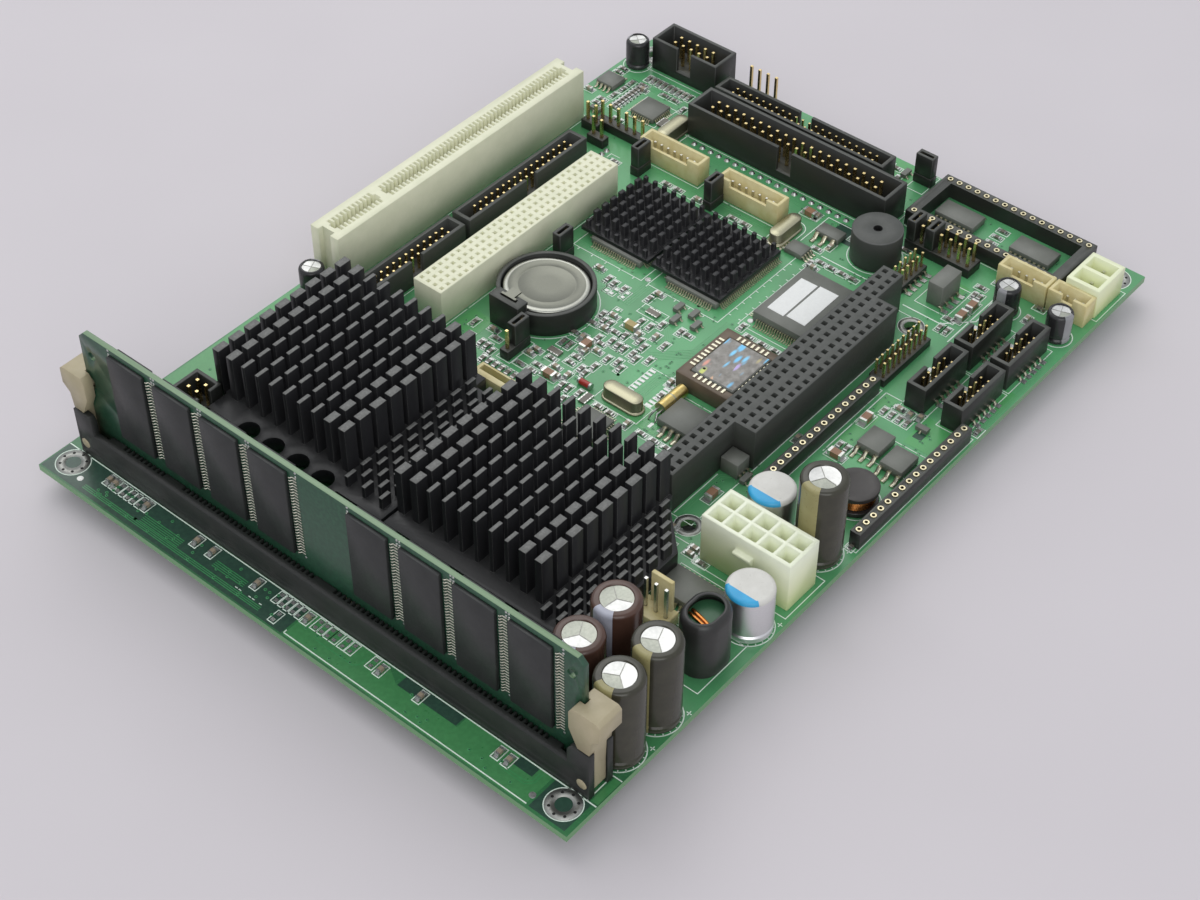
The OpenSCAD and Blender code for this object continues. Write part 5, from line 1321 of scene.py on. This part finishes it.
def coils():
    """The drum inductor with its winding, the wires over the choke and the choke's shrunk sleeve."""
    x, y = DRUM
    z = BOARD_TOP
    drum = Shape()
    drum.turned((x, y), [
        (4.5, z), (4.85, z + 0.12), (4.9, z + 0.3), (4.9, z + 1.05), (4.75, z + 1.2), (3.0, z + 1.2),
        (3.0, z + 4.0), (4.72, z + 4.0), (4.9, z + 4.15), (4.9, z + 5.0), (4.8, z + 5.14),
        (4.55, z + 5.2), (3.3, z + 5.2), (3.1, z + 5.12),
    ], 48, 0)
    for layer, radius in ((0, 3.75), (1, 4.05)):
        for k in range(9 - layer):
            height = z + 1.36 + 0.31 * (k + 0.5 * layer)
            loop = [(px, py, height) for px, py in circle(x, y, radius, 36)]
            drum.tube(loop, 0.16, 6, 1, True)
    for low, high in ((-5.0, -4.3), (4.3, 5.0)):
        drum.block((x + low, y - 1.3, z), (x + high, y + 1.3, z + 0.9), 2)
    drum.make("drum_winding", ["ferrite", "wire", "solder"], "ferrite",
              stands_for=("drum_inductor",))
    cx, cy = CHOKE
    top = BOARD_TOP + 12.0
    wind = Shape()
    for k, shift in enumerate((-1.9, -1.0)):
        lean = 0.9 + 0.1 * k
        path = [
            (cx + shift - lean, cy - 3.35, top - 1.2), (cx + shift - lean, cy - 3.3, top - 0.5),
            (cx + shift - lean * 0.7, cy - 2.9, top + 0.25), (cx + shift, cy, top + 0.42),
            (cx + shift + lean * 0.7, cy + 2.9, top + 0.25), (cx + shift + lean, cy + 3.3, top - 0.5),
            (cx + shift + lean, cy + 3.35, top - 1.2),
        ]
        wind.tube(path, 0.36, 8)
    wind.make("choke_winding", ["wire"], "tin")
    sleeve = Shape()
    base = BOARD_TOP
    profile = [
        (4.5, base), (4.5, base + 12.4), (4.38, base + 13.3), (4.0, base + 14.0), (3.5, base + 14.35),
        (3.2, base + 14.4), (2.95, base + 14.25), (2.9, base + 13.9), (3.3, base + 13.2),
        (3.9, base + 12.6), (3.9, base + 0.02),
    ]
    rings = [[(px, py, z) for px, py in stadium(cx, cy, r, 1.0)] for r, z in profile]
    count = len(rings[0])
    faces = []
    for row in range(len(rings)):
        a, b = row * count, (row + 1) % len(rings) * count
        faces += [(a + k, a + (k + 1) % count, b + (k + 1) % count, b + k) for k in range(count)]
    sleeve.shell([p for ring in rings for p in ring], faces)
    sleeve.make("shrunk_sleeve", ["sleeve"], "black_plastic", stands_for=("choke_sleeve",), smooth=50)


def cell():
    """The coin cell: a slightly crowned cup with a rolled edge, tilted in its holder; the rolled edge takes
    a lighter steel as a painted highlight.
    """
    shape = Shape()
    r, t = 10.0, 3.2
    # Rows 6 to 9, the rolled edge, take the lighter rim steel: a painted highlight
    shape.turned((0, 0), [
        (8.2, 0.02), (8.8, 0.1), (8.9, 0.5), (9.6, 0.62), (9.95, 0.8), (r, 1.1), (r, t - 0.45),
        (r - 0.12, t - 0.2), (r - 0.4, t - 0.05), (r - 0.8, t), (r - 1.2, t - 0.02),
        (r - 1.4, t - 0.1), (6.7, t - 0.1), (6.55, t - 0.06), (6.4, t - 0.13), (3.0, t - 0.15),
    ], 96, 0, lambda angle, row: 1 if 6 <= row <= 9 else 0)
    turn = Matrix.Rotation(math.radians(3), 4, "Y")
    shift = Vector((*COIN_CELL, BOARD_TOP + 2.45))
    shape.points = [tuple(turn @ Vector(p) + shift) for p in shape.points]
    shape.make("cell_cup", ["steel", "rim_steel"], "steel", stands_for=("coin_cell",), smooth=50)


def stickers():
    """Two blank stickers, a blank foil patch with a near-black dimple, and the near-black lining of the
    buzzer's hole, which paint shade into these hollows.
    """
    labels = Shape()
    z = BOARD_TOP + 3.05
    for x0, y0, x1, y1 in ((34.0, -19.8, 47.2, -15.2), (34.4, -25.4, 47.6, -20.2)):
        askew = [(x0, y0), (x1, y0 + 0.15), (x1 - 0.1, y1), (x0 + 0.1, y1 - 0.1)]
        labels.prism(askew, z, z + 0.12)
    labels.make("blank_stickers", ["paper"], "ivory", smooth=0)
    foil = Shape()
    cx, cy = CARRIER
    z = BOARD_TOP + 4.7
    foil.prism([(cx - 6.5, cy - 5.4), (cx + 6.5, cy - 5.4), (cx + 6.5, cy + 5.4), (cx - 5.5, cy + 5.4),
                (cx - 6.5, cy + 4.4)], z, z + 0.08)
    foil.make("foil_patch", ["foil"], "aluminium_can", smooth=0)
    dot = Shape()
    dot.turned((cx - 4.9, cy + 3.6), [(0.3, z + 0.07), (0.35, z + 0.1), (0.2, z + 0.11)], 16)
    dot.make("foil_dimple", ["hole_shade"], "chip_grey")
    sound = Shape()
    top = BOARD_TOP + 8.5
    sound.turned(BUZZER, [
        (0.3, top - 1.95), (0.99, top - 1.95), (0.99, top - 0.03), (0.95, top - 0.03),
        (0.95, top - 1.85), (0.3, top - 1.85),
    ], 32)
    sound.make("buzzer_sound_hole", ["hole_shade"], "chip_grey")


def socket_contacts():
    """Springs that lean against the square chip on all four sides of its socket."""
    half_x, half_y = 6.9, 5.8
    z = BOARD_TOP + 3.2
    springs = []
    for turn, out, count in ((0, half_x, 7), (180, half_x, 7), (90, half_y, 9), (270, half_y, 9)):
        springs += [(*away(*CARRIER, out + 0.8, step, turn), z, turn) for step in evenly(count, 1.27)]
    spread("socket_springs", BLOCKS, springs, "lead_tin", "gold",
           {"Length": 1.35, "Width": 0.55, "Height": 1.38, "Lift": 0.1, "Wobble": 0.04})


# Leads and marks on the upright memory module

def module_dress():
    """Leads, edge pads and dots on both faces of the module, laid flat and then stood up on its face."""
    chips = (51.3, 37.9, 24.5, 11.1, -15.3, -28.7, -42.1, -55.5)
    # Middle height of the chips, then the module's middle plane, half its thickness and its middle in Y
    middle = BOARD_TOP + 2.4 + 8.45 + 11.1
    plane, half, centre = -89.5, 0.635, -0.9
    for name, side in (("near", -1), ("far", 1)):
        stand = Matrix(((0, 0, side), (side, 0, 0), (0, 1, 0))).to_4x4()
        stand.translation = Vector((plane + side * half, centre, middle))
        legs, ladder, pads = [], [], []
        for c in chips:
            u = side * c
            for s, turn in ((-1, 180), (1, 0)):
                legs += [(u + s * 5.1, (k - 13) * 0.8, 0, turn) for k in range(27)]
            ladder += [(u + s * 6.35, v, 0) for s in (-1, 1) for v in (10.9, 11.9, -11.4)]
        for k in range(84):
            v = -64.4 + 1.52 * k
            if min(abs(v), abs(v - 43.18)) > 1.6:
                pads.append((side * v, -17.9, 0))
        spread(name + "_memory_leads", LEADS, legs, "lead", "tin",
               {"Shoulder": 0.12, "Reach": 0.3, "Foot": 1.05, "Drop": 0.55, "Width": 0.31,
                "Thickness": 0.14}, "memory", stand)
        spread(name + "_edge_pads", BLOCKS, pads, "gold", "gold",
               {"Length": 1.0, "Width": 3.6, "Height": 0.03}, "memory", stand)
        spread(name + "_ladder_dots", ROUNDS, ladder, "solder", "tin",
               {"Foot": 0.3, "Top": 0.26, "Height": 0.05, "Sides": 10}, "memory", stand)


# Solids that keep their shape, or that a round piece stands for
KEPT = {
    "mask": ["board"],
    "gold": ["memory_contacts", "expansion_contacts", "ribbon_pins", "plus_contacts", "stack_contacts",
             "drive_pins", "slim_drive_pins", "box_header_pins", "strip_pins", "surface_header_pins"],
    "tin": ["wafer_pins", "power_pins"],
    "steel": ["battery_clip", "coin_cell"],
    "brass": ["turned_contacts"],
    "core": ["choke_core"],
    "epoxy": ["bridge_chips"],
    "olive": ["dark_capacitors"],
    "russet": ["brown_capacitors"],
    "can": ["polymer_capacitors"],
    "jet": ["small_capacitors"],
    "ferrite": ["drum_inductor"],
    "black": ["choke_sleeve"],
}
# Solids that are replaced by softened copies: the bevel's width in millimetres, finish and material slot
SOFT = {
    "heatsink_rear": (0.14, "anodised", "black_anodised"),
    "heatsink_front": (0.14, "anodised", "black_anodised"),
    "controller_heatsinks": (0.1, "anodised", "black_anodised"),
    "latch_rear": (0.4, "latch", "latch_ivory"),
    "latch_front": (0.4, "latch", "latch_ivory"),
    "memory_module": (0.12, "module", "module_green"),
    "memory_chips": (0.14, "dark_epoxy", "chip_grey"),
    "memory_socket": (0.2, "deep", "black_plastic"),
    "expansion_slot": (0.25, "ivory", "ivory"),
    "ribbon_headers": (0.15, "grey_black", "black_plastic"),
    "plus_connector": (0.12, "ivory", "ivory"),
    "stack_connector": (0.14, "grey_black", "black_plastic"),
    "battery_holder": (0.2, "black", "black_plastic"),
    "drive_header": (0.15, "black", "black_plastic"),
    "slim_drive_header": (0.15, "black", "black_plastic"),
    "box_headers": (0.15, "black", "black_plastic"),
    "pin_bases": (0.15, "black", "black_plastic"),
    "jumper_caps": (0.15, "black", "black_plastic"),
    "wafer_connectors": (0.12, "tan", "tan"),
    "chip_socket": (0.12, "black", "black_plastic"),
    "contact_strips": (0.1, "black", "black_plastic"),
    "buzzer": (0.3, "grey_black", "black_plastic"),
    "carrier_socket": (0.15, "brown", "socket_brown"),
    "carrier_chip": (0.12, "epoxy", "chip_grey"),
    "support_chip": (0.15, "epoxy", "chip_grey"),
    "controller_chips": (0.15, "epoxy", "chip_grey"),
    "small_chips": (0.15, "epoxy", "chip_grey"),
    "power_transistors": (0.12, "epoxy", "chip_grey"),
    "crystal_cans": (0.3, "crystal", "steel"),
    "power_connector": (0.18, "nylon", "white_nylon"),
    "disk_power_connector": (0.15, "nylon", "white_nylon"),
    "fan_header": (0.15, "tan", "tan"),
    "surface_headers": (0.12, "black", "black_plastic"),
    "card_socket": (0.15, "black", "black_plastic"),
    "memory_card": (0.2, "card", "card_grey"),
}
BODIES = {
    "latch_rear": "rear_latch", "latch_front": "front_latch", "memory_module": "memory",
    "memory_chips": "memory",
}
# The lighter bevel finish for each finish: painted edge highlights
EDGE_HIGHLIGHTS = {
    "anodised": "fin_edge_highlight", "black": "worn_black", "grey_black": "worn_grey", "epoxy": "worn_epoxy",
}

make_camera()
make_stage()
for finish, nodes in KEPT.items():
    for node in nodes:
        clothe(node, finish)
board_face()
printed_lines()
legs = light_parts()
vias()
chip_leads(legs)
cans()
small_rounds()
coils()
cell()
stickers()
socket_contacts()
module_dress()
for node, how in SOFT.items():
    softened(node, *how)
